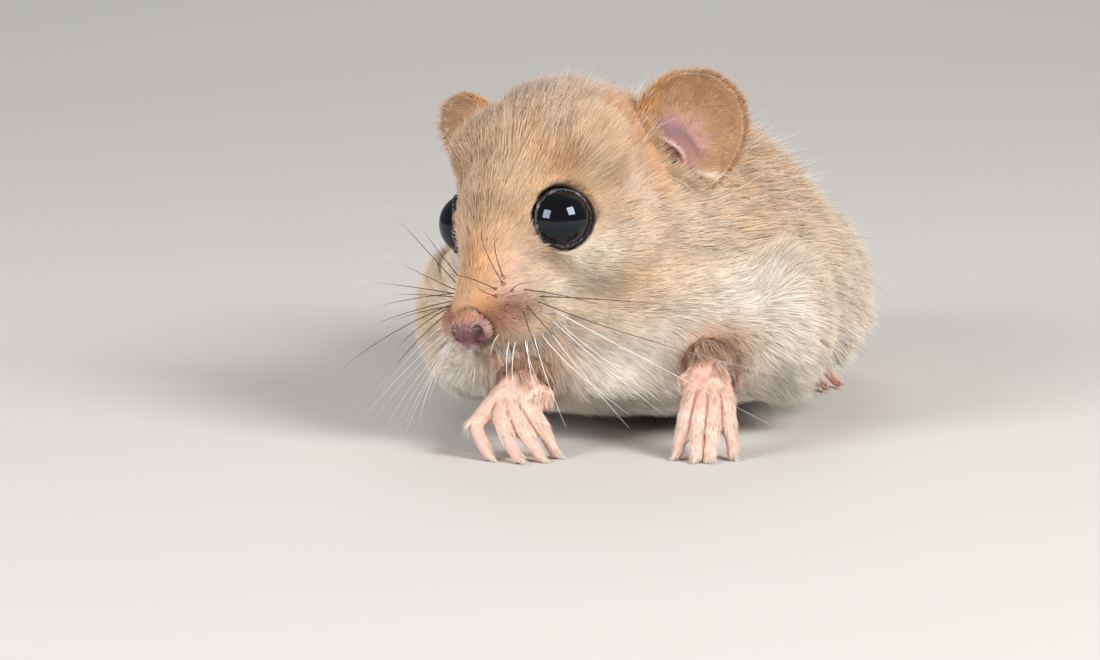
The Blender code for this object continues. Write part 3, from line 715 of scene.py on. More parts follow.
def over_the_eye(points, cone):
    """Which points lie in front of an eye's opening."""
    hidden = np.zeros(len(points), bool)
    for sign in (1, -1):
        h = to_head(points) - EYE_BALL * (sign, 1, 1)
        far = np.linalg.norm(h, axis=1)
        towards = (h @ (EYE_AXIS * (sign, 1, 1))) / np.maximum(far, 1e-9)
        hidden |= (towards > cone) & (far < 5.5)
    return hidden


def tuft_piece(name, chart, root, up, tip, width, tones, soft=0.3):
    """Thin closed tufts, widest below their middle, as one mesh with colours and map patches.

    The shading of their upper faces follows the skin's own round form, as a dense coat's does.
    """
    sunk, widest, edge_drop, patch_half = 0.04, 0.4, 0.75, 0.0015
    base = root - up * sunk * MM
    along = unit(tip - base)
    side = unit(np.cross(along, up))
    ridge = unit(np.cross(side, along))
    half = (width * MM / 2)[:, None]
    low = base * (1 - widest) + tip * widest - ridge * half * edge_drop
    points = np.stack([base, low - side * half, low + side * half, tip], 1)
    faces = np.array([(0, 3, 1), (0, 2, 3), (0, 1, 2), (3, 2, 1)])
    every = (faces[None] + (np.arange(len(root)) * 4)[:, None, None]).reshape(-1, 3)
    mesh = bpy.data.meshes.new(name)
    mesh.vertices.add(len(root) * 4)
    mesh.vertices.foreach_set("co", points.astype(np.float32).ravel())
    mesh.loops.add(len(every) * 3)
    mesh.loops.foreach_set("vertex_index", every.astype(np.int32).ravel())
    mesh.polygons.add(len(every))
    mesh.polygons.foreach_set("loop_start", np.arange(0, len(every) * 3, 3, dtype=np.int32))
    mesh.update()
    mesh.shade_smooth()
    patch = np.array([(0, -1), (-1, 0), (1, 0), (0, 1)]) * patch_half
    flat = (map_places(chart, root)[:, None, :] + patch[None]).reshape(-1, 2)
    layer = mesh.uv_layers.new(name="OFBake")
    layer.data.foreach_set("uv", flat[every.ravel()].astype(np.float32).ravel())
    tinted(mesh, tones[:, (0, 1, 1, 2)].reshape(-1, 3))
    tilts = (ridge, ridge * 0.6 - side * 0.8, ridge * 0.6 + side * 0.8)
    top, left, right = (up * soft + tilt * (1 - soft) for tilt in tilts)
    ways = unit(np.stack([top, top, left, top, right, top] + [-ridge] * 6, 1)).reshape(-1, 3)
    mesh.normals_split_custom_set(ways.astype(np.float32))
    return placed(name, mesh, FUR)


def in_pieces(name, chart, most=48000, **parts):
    """Makes the tufts as pieces of neighbours that each stay small enough to export."""
    order = np.argsort(parts["root"][:, 1])
    made = []
    for k, group in enumerate(np.array_split(order, math.ceil(len(order) / most))):
        own = {key: part[group] for key, part in parts.items()}
        made.append(tuft_piece(f"{name}_{k + 1}", chart, soft=0.72, **own))
    return made


def shades(base, painted_root_shade, pale_tip, variety, leader=slice(None)):
    """Root, middle and tip colours of each tuft: its lock's tone and its own, with painted shade at the
    root.
    """
    count = len(base)
    lock = CHANCE.normal(size=(count, 1))[leader]
    own = 1 + variety * (0.5 * lock + CHANCE.normal(size=(count, 1)))
    own = np.where(CHANCE.random((count, 1)) < 0.07, own * 0.68, own)
    warm = 1 + 0.03 * CHANCE.normal(size=(count, 1)) * np.array((1, 0, -1.6))
    body = np.clip(base * own * warm, 0, 1)
    tip = np.clip(body + (1 - body) * pale_tip, 0, 1)
    # The root is darkened as painted shade, where it lies deep in the coat
    return np.stack([np.clip(body * painted_root_shade, 0, 1), body, tip], 1)


def coat(skin_obj, chart):
    """The whole body's coat: fine short tufts on the face, longer and softer ones behind."""

    def muzzle(points):
        return near(to_head(points), (0, -7.6, -4.6), (5.2, 5.0, 4.6))

    def density(points):
        b = to_body(points)
        low = 1 - eased(1.0, 4.0, b[:, 2])
        rear = eased(26, 40, b[:, 1])
        thick = 38 + 62 * face_share(points) + 130 * muzzle(points) - 20 * low - 12 * rear
        nose_pad = np.linalg.norm((to_head(points) - NOSE_TIP) / (1.6, 1.5, 1.25), axis=1) < 1
        return np.where(nose_pad | over_the_eye(points, 0.42), 0, thick)

    root, up = scattered(skin_obj, density)
    lie = lie_of_coat(root, up)
    count = len(root)
    h, b = to_head(root), to_body(root)
    face = face_share(root)
    m = np.clip(muzzle(root) * 1.25, 0, 1)
    crown = eased(2, 8, h[:, 2])
    eye_gap = np.min([np.linalg.norm(h - EYE_BALL * (s, 1, 1), axis=1) for s in (1, -1)], 0)
    by_eye = 1 - eased(3.0, 6.0, eye_gap)
    low = 1 - eased(1.5, 6, b[:, 2])
    ear_front = near(folded(h), (8.4, 8.9, 0.4), (1.4, 1.6, 2.2))
    face_length = 1.9 + 0.5 * crown - 1.3 * m - 0.9 * by_eye * (1 - m) + 1.0 * ear_front
    body_length = 3.3 - 1.2 * low - 0.9 * near(b, (3.5, 10, 5), (40, 7, 6))
    length = body_length + (face_length - body_length) * face
    lift = np.radians(19 - 7 * low * (1 - face) - 1 * face + 6 * crown * face + 22 * ear_front)
    loose = wander(b, 2.0, 21)
    middle, tip = strand_ends(
        root,
        up,
        lie,
        length=length * CHANCE.uniform(0.6, 1.25, count) * (1 + 0.12 * loose),
        lift=lift * (1 + 0.25 * loose) + np.radians(CHANCE.normal(0, 6, count)),
        drop=np.radians(18.0),
        sway=CHANCE.normal(0, 0.13, count) + 0.12 * wander(b, 1.4, 22),
    )
    pull = CHANCE.uniform(0.05, 0.45, count) * (1 - 0.7 * m) * (1 - 0.3 * face)
    tip, leader = gathered(root, tip, 0.65, pull)
    middle = middle + (middle[leader] - middle) * pull[:, None] * 0.35
    middle, tip = (above_floor(clear_of_eyes(points), COAT_FLOOR) for points in (middle, tip))
    keep = ~(over_the_eye(tip, 0.5) | over_the_eye(middle, 0.46))
    by_whiskers = np.clip(near(folded(h), (2.6, -7.4, -4.6), (1.8, 1.8, 1.5)), 0, 1)
    rusty = (CHANCE.random(count) < 0.3) * by_whiskers
    tones = shades(blended(markings(root), colour(RUSSET) * 0.8, rusty), 0.86, 0.12, 0.09, leader)
    width = (0.068 - 0.017 * face - 0.006 * m) * CHANCE.uniform(0.75, 1.25, count)
    parts = {"root": root, "up": up, "tip": tip, "width": width, "tones": tones}
    return in_pieces("coat", chart, **{key: part[keep] for key, part in parts.items()})


def guard_hair(skin_obj, chart):
    """Long fine hairs, grey white and brown, that break the outline of crown, nape and back."""
    root, up = scattered(skin_obj, lambda p: 0.5 + 1.3 * eased(12, 22, to_body(p)[:, 2]))
    h, b = to_head(root), to_body(root)
    front = h[:, 1] < 2.0
    chance = CHANCE.random(len(root))
    keep = (~front & (b[:, 2] > 4)) | (front & (h[:, 2] > 6.5) & (chance < 0.5))
    root, up = root[keep], up[keep]
    count = len(root)
    _, tip = strand_ends(
        root,
        up,
        lie_of_coat(root, up),
        length=(5.2 - 1.9 * face_share(root)) * CHANCE.uniform(0.7, 1.2, count),
        lift=np.radians(30 + CHANCE.normal(0, 8, count)),
        drop=np.radians(20.0),
        sway=CHANCE.normal(0, 0.25, count),
    )
    pale = CHANCE.random(count) < 0.7
    tones = shades(np.where(pale[:, None], colour("DFD5C8"), colour("8A6238")), 0.8, 0.2, 0.08)
    width = CHANCE.uniform(0.026, 0.038, count)
    return tuft_piece("guard_hair", chart, root, up, clear_of_eyes(tip), width, tones, soft=0.5)


def tail_coat(skin_obj, chart):
    """The bushy tail: long hair that leaves a slim core at a slant."""
    root, up = scattered(skin_obj, 44.0)
    keep = to_body(root)[:, 1] > 61.5
    root, up = root[keep], up[keep]
    count = len(root)
    steps = np.linspace(0, 1, 200)
    share = np.interp(to_body(root)[:, 1], tail_line(steps)[0][:, 1], steps)
    ahead = unit(tail_line(np.minimum(share + 0.02, 1))[0] - tail_line(share - 0.02)[0])
    length = np.minimum(7.0, 2.2 + (1 - share) * 58) * CHANCE.uniform(0.65, 1.15, count)
    rise = np.clip((tail_line(share)[1] * 0.6) / length, 0.05, 0.75)
    _, tip = strand_ends(
        root,
        up,
        laid(ahead, up),
        length=length,
        lift=np.arcsin(rise) * 1.5 + CHANCE.normal(0, 0.1, count),
        drop=0.45,
        sway=CHANCE.normal(0, 0.12, count),
    )
    tip, leader = gathered(root, tip, 1.6, CHANCE.uniform(0.15, 0.6, count))
    width = 0.11 * CHANCE.uniform(0.75, 1.25, count)
    tones = shades(tail_tone(root), 0.6, 0.15, 0.12, leader)
    tip = above_floor(tip, COAT_FLOOR)
    return in_pieces("tail_coat", chart, root=root, up=up, tip=tip, width=width, tones=tones)


# Eyes


def eyeball(name, sign):
    """A smooth wet ball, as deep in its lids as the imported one."""
    bm = bmesh.new()
    place = Matrix.Translation(Vector(from_head(EYE_BALL * (sign, 1, 1))))
    bmesh.ops.create_uvsphere(bm, u_segments=96, v_segments=48, radius=EYE_RADIUS * MM, matrix=place)
    mesh = bpy.data.meshes.new(name)
    bm.to_mesh(mesh)
    bm.free()
    mesh.shade_smooth()
    return placed(name, mesh, EYE_GLOSS)


def lid(name, sign, around=140, sides=12):
    """Both lids' dark moist rim, a thin fold on the ball with a small corner in front."""
    out = unit(EYE_AXIS * (sign, 1, 1))
    forward = np.array((0, -1, -0.35))
    front = unit(forward - out * (forward @ out))
    above = np.cross(out, front) * sign
    turn = np.linspace(0, 2 * np.pi, around, endpoint=False)
    corner = bell((turn + np.pi) % (2 * np.pi) - np.pi, 0, 0.25)
    circle = np.stack([np.cos(turn), np.sin(turn), np.zeros(around)], 1) * 6
    angle = np.radians(63.5) + 0.11 * corner + 0.012 * wander(circle, 1.1, 32)
    rim = front * np.cos(turn)[:, None] + above * np.sin(turn)[:, None]
    middle = out * np.cos(angle)[:, None] + rim * np.sin(angle)[:, None]
    across = rim * np.cos(angle)[:, None] - out * np.sin(angle)[:, None]
    roll = np.linspace(0, 2 * np.pi, sides, endpoint=False)
    wobble = 1 + 0.22 * wander(circle, 0.5, 33)
    reach = EYE_RADIUS + 0.03 + 0.11 * np.sin(roll)[None] * wobble[:, None]
    slide = (0.18 * np.cos(roll))[None] * wobble[:, None]
    points = middle[:, None] * reach[..., None] + across[:, None] * slide[..., None]
    points = points + EYE_BALL * (sign, 1, 1)
    corners = from_head(points.reshape(-1, 3))
    faces = []
    for i in range(around):
        here, beyond = i * sides, (i + 1) % around * sides
        for j in range(sides):
            k = (j + 1) % sides
            faces.append((here + j, beyond + j, beyond + k, here + k))
    h = to_head(corners)
    speck = wander(h, 0.13, 31) + 0.5 * wander(h, 0.5, 34)
    tone = painted(plain("231D26", h), ("7C788E", eased(0.35, 0.9, speck)))
    return placed(name, closed_mesh(name, corners, faces, tone), LID_SKIN)


# Ears

# The ear's reach from its canal, in mm, by the direction in degrees from its tip's
EAR_TURNS = (-140, -90, -65, -50, -38, -18, 0, 17, 33, 50, 66, 84, 125, 170, 220)
EAR_REACHES = (2.2, 2.7, 3.8, 5.0, 6.2, 8.0, 8.9, 8.8, 7.9, 6.5, 5.4, 4.4, 2.6, 2.0, 2.2)
EAR_CANALS = {-1: np.array((-9.8, 9.7, 0.0)), 1: np.array((8.0, 10.6, -0.2))}
EAR_TIP_WAYS = {-1: np.array((0.71, 0.36, 0.66)), 1: np.array((0.55, 0.42, 0.72))}
EAR_FACINGS = {-1: np.array((0.46, -0.87, 0.16)), 1: np.array((0.56, -0.81, 0.18))}
EAR_DEPTH = 2.8


def ear_ways(side):
    """The ways that the ear faces, that its tip points to and that its rear edge lies."""
    flip = np.array((side, 1, 1))
    facing = unit(EAR_FACINGS[side] * flip)
    tip_way = EAR_TIP_WAYS[side] * flip
    tip_way = unit(tip_way - facing * (tip_way @ facing))
    return facing, tip_way, np.cross(facing, tip_way) * -side


def arch_of(turn):
    """How far the arched fold runs from the canal, by the direction in degrees."""
    return 1.8 + 0.7 * bell(turn, -55, 30)


def ear(name, side, rings=44, spokes=130):
    """A thin cup with a rolled rim, an arched fold round its canal and a crease by its lobe."""
    facing, tip_way, back = ear_ways(side)
    turn = np.linspace(-140, 220, spokes, endpoint=False)
    reach = np.interp(turn, EAR_TURNS, EAR_REACHES)
    for _ in range(3):
        reach = (np.roll(reach, 1) + 2 * reach + np.roll(reach, -1)) / 4
    ways = tip_way * np.cos(np.radians(turn))[:, None] + back * np.sin(np.radians(turn))[:, None]
    share = (np.linspace(0, 1, rings) ** 0.85)[:, None]
    out = share * reach[None]
    far = out / max(EAR_REACHES)

    def ridge(radius, wide, middle, spread):
        return bell(out, radius, wide) * bell(turn, middle, spread)[None]

    hollow = EAR_DEPTH * (1 - far) ** 1.3 + 1.5 * np.sin(np.pi * far) * far
    folds = 0.34 * ridge(arch_of(turn), 0.17, 0, 55) + 0.25 * ridge(3.4, 0.35, 30, 22)
    folds = folds + 0.65 * ridge(0.9, 0.5, 172, 20) - 0.7 * bell(out, 0, 0.9)
    crease = 0.25 * bell(turn, 76, 5)[None] * eased(0.45, 0.6, share)
    lobe = 0.45 * bell(turn, 100, 20)[None] * eased(0.4, 0.9, share)
    spread_out = np.stack([out, turn[None] / 12 + 0 * out, 0 * out], -1).reshape(-1, 3)
    waves = (0.10 * wander(spread_out, 1.3, 42)).reshape(out.shape) * eased(0.2, 0.5, share)
    roll = 0.3 * eased(0.88, 1.0, share) * np.ones_like(out)
    surface = hollow - folds - roll - lobe - crease + waves
    flat = EAR_CANALS[side] + ways[None] * out[..., None]
    inner = flat - facing * surface[..., None]
    wall = (0.50 - 0.28 * eased(0.3, 1.0, share)) * np.ones_like(out)
    outer = flat - facing * (np.maximum(hollow - roll * 0.8, surface) + wall)[..., None]
    corners = np.concatenate([inner.reshape(-1, 3), outer.reshape(-1, 3)])
    shell, last = rings * spokes, (rings - 1) * spokes
    faces = ring_faces(rings, spokes) + ring_faces(rings, spokes, shell)
    for j in range(spokes):
        k = (j + 1) % spokes
        faces.append((last + j, last + k, shell + last + k, shell + last + j))
    shares = np.tile(np.repeat(share.ravel(), spokes), 2)
    behind = np.repeat((0.0, 1.0), shell)
    tone = ear_tone(corners, np.tile(turn, 2 * rings), np.tile(out.ravel(), 2), shares, behind)
    return placed(name, closed_mesh(name, from_head(corners), faces, tone), EAR_SKIN)


def ear_tone(points, turn, out, share, behind):
    """Mauve round the pink canal, whitish on its folds, brown orange towards the rim."""
    drift = wander(points, 1.6, 41)

    def spot(radius, wide, middle, spread):
        return bell(out, radius, wide) * bell(turn, middle, spread)

    tone = painted(
        plain("C89A8C", points),
        ("B58C66", eased(0.45, 0.75, share + 0.08 * drift)),
        ("A08288", spot(3.1, 0.9, -10, 42) * 0.85),
        ("BC6E74", spot(1.6, 0.6, 30, 80) * 0.85),
        ("A8403F", bell(out, 0, 1.15)),
        ("EFE2E4", spot(arch_of(turn) + 0.05, 0.15, 0, 52) * 0.95),
        ("E2DAE8", spot(0.9, 0.5, 172, 20) * 0.95),
        ("EBD8C4", bell(turn, 74, 3.5) * eased(0.5, 0.6, share) * 0.8),
        ("DDB08A", bell(turn, 100, 20) * eased(0.4, 0.6, share) * 0.8),
        ("E9D3B8", eased(0.965, 0.99, share) * 0.7),
        ("C48D58", behind * 0.9),
    )
    return np.clip(tone * (1 + 0.08 * drift)[:, None], 0, 1)


def ear_hair(name, obj, side, chart):
    """Short hair over the ear, dense towards the rim, and a loose tuft before the canal."""
    facing, tip_way, back = ear_ways(side)
    root, up = scattered(obj, 62.0)
    gap = to_head(root) - EAR_CANALS[side]
    u, v = gap @ tip_way, gap @ back
    turn = (np.degrees(np.arctan2(v, u)) + 140) % 360 - 140
    out = np.hypot(u, v)
    share = out / np.interp(turn, EAR_TURNS, EAR_REACHES)
    front = (up @ HEAD_TURN @ facing) > 0
    chance = CHANCE.random(len(root))
    lobe = bell(turn, 100, 24)
    crease = bell(turn, 74, 5) * eased(2.6, 3.4, out) * (1 - eased(5.4, 6, out))
    wanted = eased(2.4, 4.4, out + 1.0 * lobe - 0.7 * bell(turn, -10, 35))
    wanted = np.where(front, 0.05 + 0.95 * wanted * (1 - 0.7 * crease), 0.75)
    wanted = np.where(front & (out < 1.7), 0.0, wanted)
    keep = chance < wanted
    root, up, front = root[keep], up[keep], front[keep]
    turn, share, lobe, crease = turn[keep], share[keep], lobe[keep], crease[keep]
    count = len(root)
    h = to_head(root)
    edge = bell(turn, -45, 20) * eased(0.6, 0.85, share)
    tragus = front & (turn < -75) & (share > 0.45)
    away = unit(h - EAR_CANALS[side] + facing * 1.2)
    away = away + back * (0.35 * (1 - lobe))[:, None] * eased(0.4, 0.8, share)[:, None]
    away = away + 0.25 * wanders(h, 1.3, 51, 52, 53)
    inward = unit(EAR_CANALS[side] + facing * 1.5 + tip_way * 1.2 - h)
    away = np.where(tragus[:, None], inward, away) @ HEAD_TURN.T
    length = CHANCE.uniform(0.7, 1.2, count) * np.where(front, 0.95, 1.2) * (1 + 0.7 * edge)
    _, tip = strand_ends(
        root,
        up,
        laid(away, up),
        length=length * np.where(tragus, 2.3, 1.0),
        lift=np.radians(CHANCE.uniform(4, 16, count) + np.where(tragus, 26, 0)),
        drop=np.radians(10.0),
        sway=CHANCE.normal(0, 0.14, count),
    )
    drift = wander(h, 0.7, 54)
    tone = painted(
        plain("C89A6A", root),
        ("DDB485", eased(0.1, 0.9, drift) * 0.7),
        ("9C6C44", eased(0.2, 0.9, -drift) * 0.6),
        ("F0D0A8", np.where(front, lobe, 0) * 0.9),
        ("F1E2D2", np.where(front, crease, 0) * 0.8),
        ("E4A45E", np.clip(edge * 1.2, 0, 0.9)),
        ("CC9A66", np.where(front, 0.0, 0.6)),
        ("B4713C", np.where(tragus, 0.75, 0.0)),
    )
    tones = shades(tone, 0.8, 0.16, 0.10)
    return tuft_piece(name, chart, root, up, tip, CHANCE.uniform(0.055, 0.085, count), tones)


# Nose, hands and feet


def nose():
    """The bare nose pad, finely wrinkled, with its comma nostrils painted in as dark shade and the cleft
    between them.
    """
    obj = remeshed(merged_copy("nose_pad", ["nose"], NOSE_SKIN), 0.075, 3)
    corners, _, normals = mesh_arrays(obj.data)
    h = to_head(corners)
    groove = bell(h[:, 0], 0, 0.16) * eased(-9.4, -10.4, h[:, 1]) * 0.12
    side = eased(0.8, 1.9, np.abs(h[:, 0]))
    pores = 0.05 * wander(h, 0.26, 61) + 0.035 * wander(h, 0.14, 63)
    moved(obj, corners + normals * ((pores * (1 - 0.5 * side) - groove - 0.08) * MM)[:, None])
    m = folded(h)
    tone = painted(
        plain("764C4C", h),
        ("C08F92", near(m, (2.0, -9.2, -5.6), (0.6, 0.9, 0.9)) * 0.8),
        ("6E3C44", near(m, (0.9, -10.3, -6.2), (0.8, 0.8, 0.6)) * 0.8),
        ("BBA0B4", near(m, (0.35, -10.2, -7.0), (0.45, 0.5, 0.4)) * 0.9),
        # The nostrils are painted almost black: painted shade of openings that the pad has no holes for
        ("34090D", near(m, (1.42, -10.1, -5.6), (0.42, 0.6, 0.62))),
        ("34090D", near(m, (1.1, -10.3, -6.3), (0.3, 0.6, 0.3)) * 0.8),
        ("C58E74", eased(-4.9, -4.2, h[:, 2]) * 0.7),
    )
    tinted(obj.data, np.clip(tone * (1 + 0.2 * wander(h, 0.22, 62))[:, None], 0, 1))
    return obj


def nose_hair(pad, chart):
    """Very short greyish hair that creeps over the nose pad's upper edge."""
    root, up = scattered(pad, 46.0)
    h = to_head(root)
    edge = eased(-5.8, -4.9, h[:, 2]) + eased(-9.9, -9.2, h[:, 1]) * 0.7
    edge = edge + 0.4 * eased(1.5, 2.1, np.abs(h[:, 0]))
    keep = (CHANCE.random(len(root)) < edge) & (h[:, 1] < -7.6)
    root, up, h = root[keep], up[keep], h[keep]
    count = len(root)
    _, tip = strand_ends(
        root,
        up,
        laid(unit(h - (0, -12.0, -5.8)) @ HEAD_TURN.T, up),
        length=CHANCE.uniform(0.4, 0.85, count),
        lift=np.radians(CHANCE.uniform(10, 30, count)),
        drop=np.radians(15.0),
        sway=CHANCE.normal(0, 0.3, count),
    )
    rim = eased(-5.7, -4.5, h[:, 2]) + eased(1.4, 2.1, np.abs(h[:, 0]))
    orange = np.clip(eased(-0.2, 0.5, wander(h, 1.0, 64)) * 0.4 + rim * 0.7, 0, 0.9)
    tones = shades(painted(plain("CFC2BE", root), ("D0935E", orange)), 0.8, 0.2, 0.1)
    return tuft_piece("nose_hair", chart, root, up, tip, CHANCE.uniform(0.03, 0.045, count), tones)


def nearest_bone(points, bones):
    """The way of the nearest bone at each point, how far along it, and how far from it."""
    best = np.full(len(points), 1e9)
    way, share = np.zeros((len(points), 3)), np.zeros(len(points))
    for start, end in bones:
        start, end = np.array(start, float), np.array(end, float)
        t = np.clip((points - start) @ (end - start) / ((end - start) @ (end - start)), 0, 1)
        gap = np.linalg.norm(points - start - t[:, None] * (end - start), axis=1)
        closer = gap < best
        best[closer], share[closer] = gap[closer], t[closer]
        way[closer] = unit(end - start)
    return way, share, best


def between_digits(points, bones):
    """1 in the folds between the free parts of two digits, falling to 0 away from them."""
    first, second, *_ = np.sort([nearest_bone(points, digit[1:])[2] for digit in bones], axis=0)
    return bell(second, first, 0.16) * eased(0.25, 0.6, first) * (1 - eased(0.9, 1.5, first))


def limb_end(name, node_name, voxel, bones):
    """A hand or foot in bare pink skin, with its knuckles, pads and the folds between digits."""
    obj = remeshed(merged_copy(name, [node_name], BARE_SKIN), voxel, 4)
    corners, _, normals = mesh_arrays(obj.data)
    b = to_body(corners)
    fold = between_digits(b, bones)
    creases = 0.05 * wander(b, 0.45, 71) + 0.03 * wander(b, 0.2, 72) - 0.05 - 0.16 * fold
    corners = above_floor(corners + normals * (creases * MM)[:, None], 0)
    moved(obj, corners)
    layers = (
        ("F0CFC2", eased(-0.2, 0.7, wander(b, 1.1, 73)) * 0.6),
        ("D98C86", (1 - eased(0.1, 1.3, b[:, 2])) * 0.5),
        ("B97F8C", eased(0.35, 0.9, -normals[:, 2]) * 0.5),
        # The folds between digits are darker red: partly the skin's own redder colour, partly painted
        # shade
        ("8E4F45", fold * 0.8),
    )
    tinted(obj.data, painted(plain(SKIN_PINK, b), *layers))
    return obj


def claws(name, tips, sides=8, rings=6):
    """Small curved cones of horn, each from a digit's tip and along its heading."""
    corners, faces = [], []
    for tip, heading, size in tips:
        ahead = np.array((math.sin(heading), -math.cos(heading), 0.0))
        across = np.array((ahead[1], -ahead[0], 0))
        faces += capped_faces(rings, sides, len(corners))
        for t in np.linspace(0, 1, rings):
            middle = np.array(tip) + ahead * size * (0.15 + t) + (0, 0, 0.10 * size - 0.35 * size * t**2)
            radius = 0.24 * size * (1 - t) ** 0.8 + 0.01
            for a in np.linspace(0, 2 * math.pi, sides, endpoint=False):
                p = middle + across * radius * 0.8 * math.cos(a)
                p[2] = max(p[2] + radius * math.sin(a), 0.02)
                corners.append(p)
    return placed(name, closed_mesh(name, from_body(np.array(corners)), faces), HORN)


def limb_hair(name, obj, bones, chart, rear_limit, density, length=0.9):
    """Pale hair over the back of a hand or foot, along each digit and past its end."""
    root, up = scattered(obj, density)
    b = to_body(root)
    way, down_digit, _ = nearest_bone(b, [bone for digit in bones for bone in digit])
    above = unit(np.cross(np.cross(way, (0, 0, 1)), way))
    on_back = (up * above).sum(1) - 1.2 * between_digits(b, bones)
    by_wrist = eased(3.0, 5.0, b[:, 2])
    bald = CHANCE.random(len(root)) > eased(-0.1, 0.65, on_back - 0.45 * by_wrist)
    keep = ~bald & (root[:, 2] > 0.3 * MM) & (b[:, 1] < rear_limit)
    root, up, b, way, down_digit = root[keep], up[keep], b[keep], way[keep], down_digit[keep]
    count = len(root)
    _, tip = strand_ends(
        root,
        up,
        laid(way + 0.18 * wanders(b, 0.6, 81, 82, 83), up),
        length=length * CHANCE.uniform(0.6, 1.25, count) * (0.75 + 0.6 * down_digit),
        lift=np.radians(CHANCE.uniform(4, 13, count)),
        drop=np.radians(13.0),
        sway=CHANCE.normal(0, 0.10, count),
    )
    wrist = eased(3.2, 6.4, b[:, 2] + wander(b, 0.8, 84)) * 0.8
    tones = shades(painted(plain("F1DEC6", root), ("D8A478", wrist)), 0.72, 0.25, 0.12)
    width = CHANCE.uniform(0.038, 0.055, count)
    return tuft_piece(name, chart, root, up, above_floor(tip, 0.06), width, tones)


def hand_parts(word):
    """The hand's digits as rows of bones and, for its claws, each fingertip with its heading."""
    wrist, *fingers = HAND_BONES[word]
    bones, tips = [], []
    for knuckle, bend, tip in fingers:
        bones.append([(wrist, knuckle), (knuckle, bend), (bend, tip)])
        tips.append((tip, math.atan2(tip[0] - bend[0], bend[1] - tip[1]), 0.85))
    return bones, tips


def foot_parts(sign):
    """The hind foot's bones and its five toe tips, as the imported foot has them."""
    heel = np.array((5.0 + sign * 11.2, 47.5, 1.45))
    out = math.radians(sign * 7)
    ahead = np.array((math.sin(out), -math.cos(out), 0))
    across = np.array((math.cos(out), math.sin(out), 0))
    ball = heel + ahead * 15.0 * 0.62
    bones, tips = [], []
    for i, reach in enumerate((3.6, 4.9, 5.2, 4.9, 3.9)):
        share = i / 4 - 0.5
        heading = out + share * math.radians(46)
        root = ball + across * share * 3.6 + ahead * (0.5 - 3.0 * share**2)
        tip = root + np.array((math.sin(heading), -math.cos(heading), 0)) * reach
        tip[2] = 0.5
        bones.append([(heel, ball), (root, tip)])
        tips.append((tip, heading, 0.95))
    return bones, tips


# Whiskers

# Each whisker of the left pad: root in head mm, way, length in mm, and whether it is white
WHISKERS = (
    ((2.3, -6.6, -2.9), (0.10, -0.47, 0.88), 11.5, False),
    ((2.5, -6.1, -2.4), (0.21, -0.33, 0.92), 7.0, False),
    ((1.8, -7.2, -2.9), (0.05, -0.72, 0.69), 9.0, False),
    ((1.9, -7.5, -3.4), (0.16, -0.84, 0.51), 6.5, False),
    ((3.6, -5.3, -3.8), (0.93, -0.20, 0.05), 9.6, False),
    ((4.6, -5.4, -4.5), (0.90, -0.15, -0.25), 14.5, False),
    ((4.2, -6.5, -4.5), (0.73, -0.50, -0.30), 7.2, False),
    ((3.9, -7.1, -5.1), (0.58, -0.66, -0.36), 6.9, False),
    ((3.1, -6.4, -3.4), (0.62, -0.60, 0.52), 8.0, False),
    ((4.4, -4.8, -4.6), (0.95, 0.10, -0.15), 12.0, False),
    ((3.0, -7.4, -4.3), (0.45, -0.82, 0.20), 6.0, False),
    ((2.2, -8.7, -6.4), (0.20, -0.98, -0.02), 2.5, True),
    ((2.8, -8.4, -7.0), (0.31, -0.90, -0.45), 3.6, True),
    ((3.2, -8.1, -7.1), (0.21, -0.85, -0.45), 6.4, True),
    ((3.7, -7.6, -7.2), (0.34, -0.80, -0.50), 4.2, True),
    ((3.9, -7.3, -7.4), (0.44, -0.75, -0.50), 5.8, True),
    ((4.2, -6.8, -7.3), (0.51, -0.62, -0.60), 6.6, True),
    ((4.4, -6.2, -7.5), (0.72, -0.45, -0.52), 7.6, True),
    ((4.6, -5.0, -7.9), (0.69, -0.50, -0.50), 8.0, True),
    ((5.0, -4.9, -6.9), (0.80, -0.35, -0.45), 11.5, True),
    ((5.2, -4.0, -7.8), (0.85, -0.35, -0.40), 9.0, True),
    ((4.8, -4.6, -6.2), (0.88, -0.10, -0.42), 13.0, True),
)
# Mounds on the pad whose whiskers have fallen out
FOLLICLE_SPOTS = np.array(
    ((2.9, -7.6, -4.9), (3.7, -7.0, -4.7), (2.4, -8.1, -5.2), (3.4, -7.6, -5.4), (2.9, -6.9, -3.9))
)


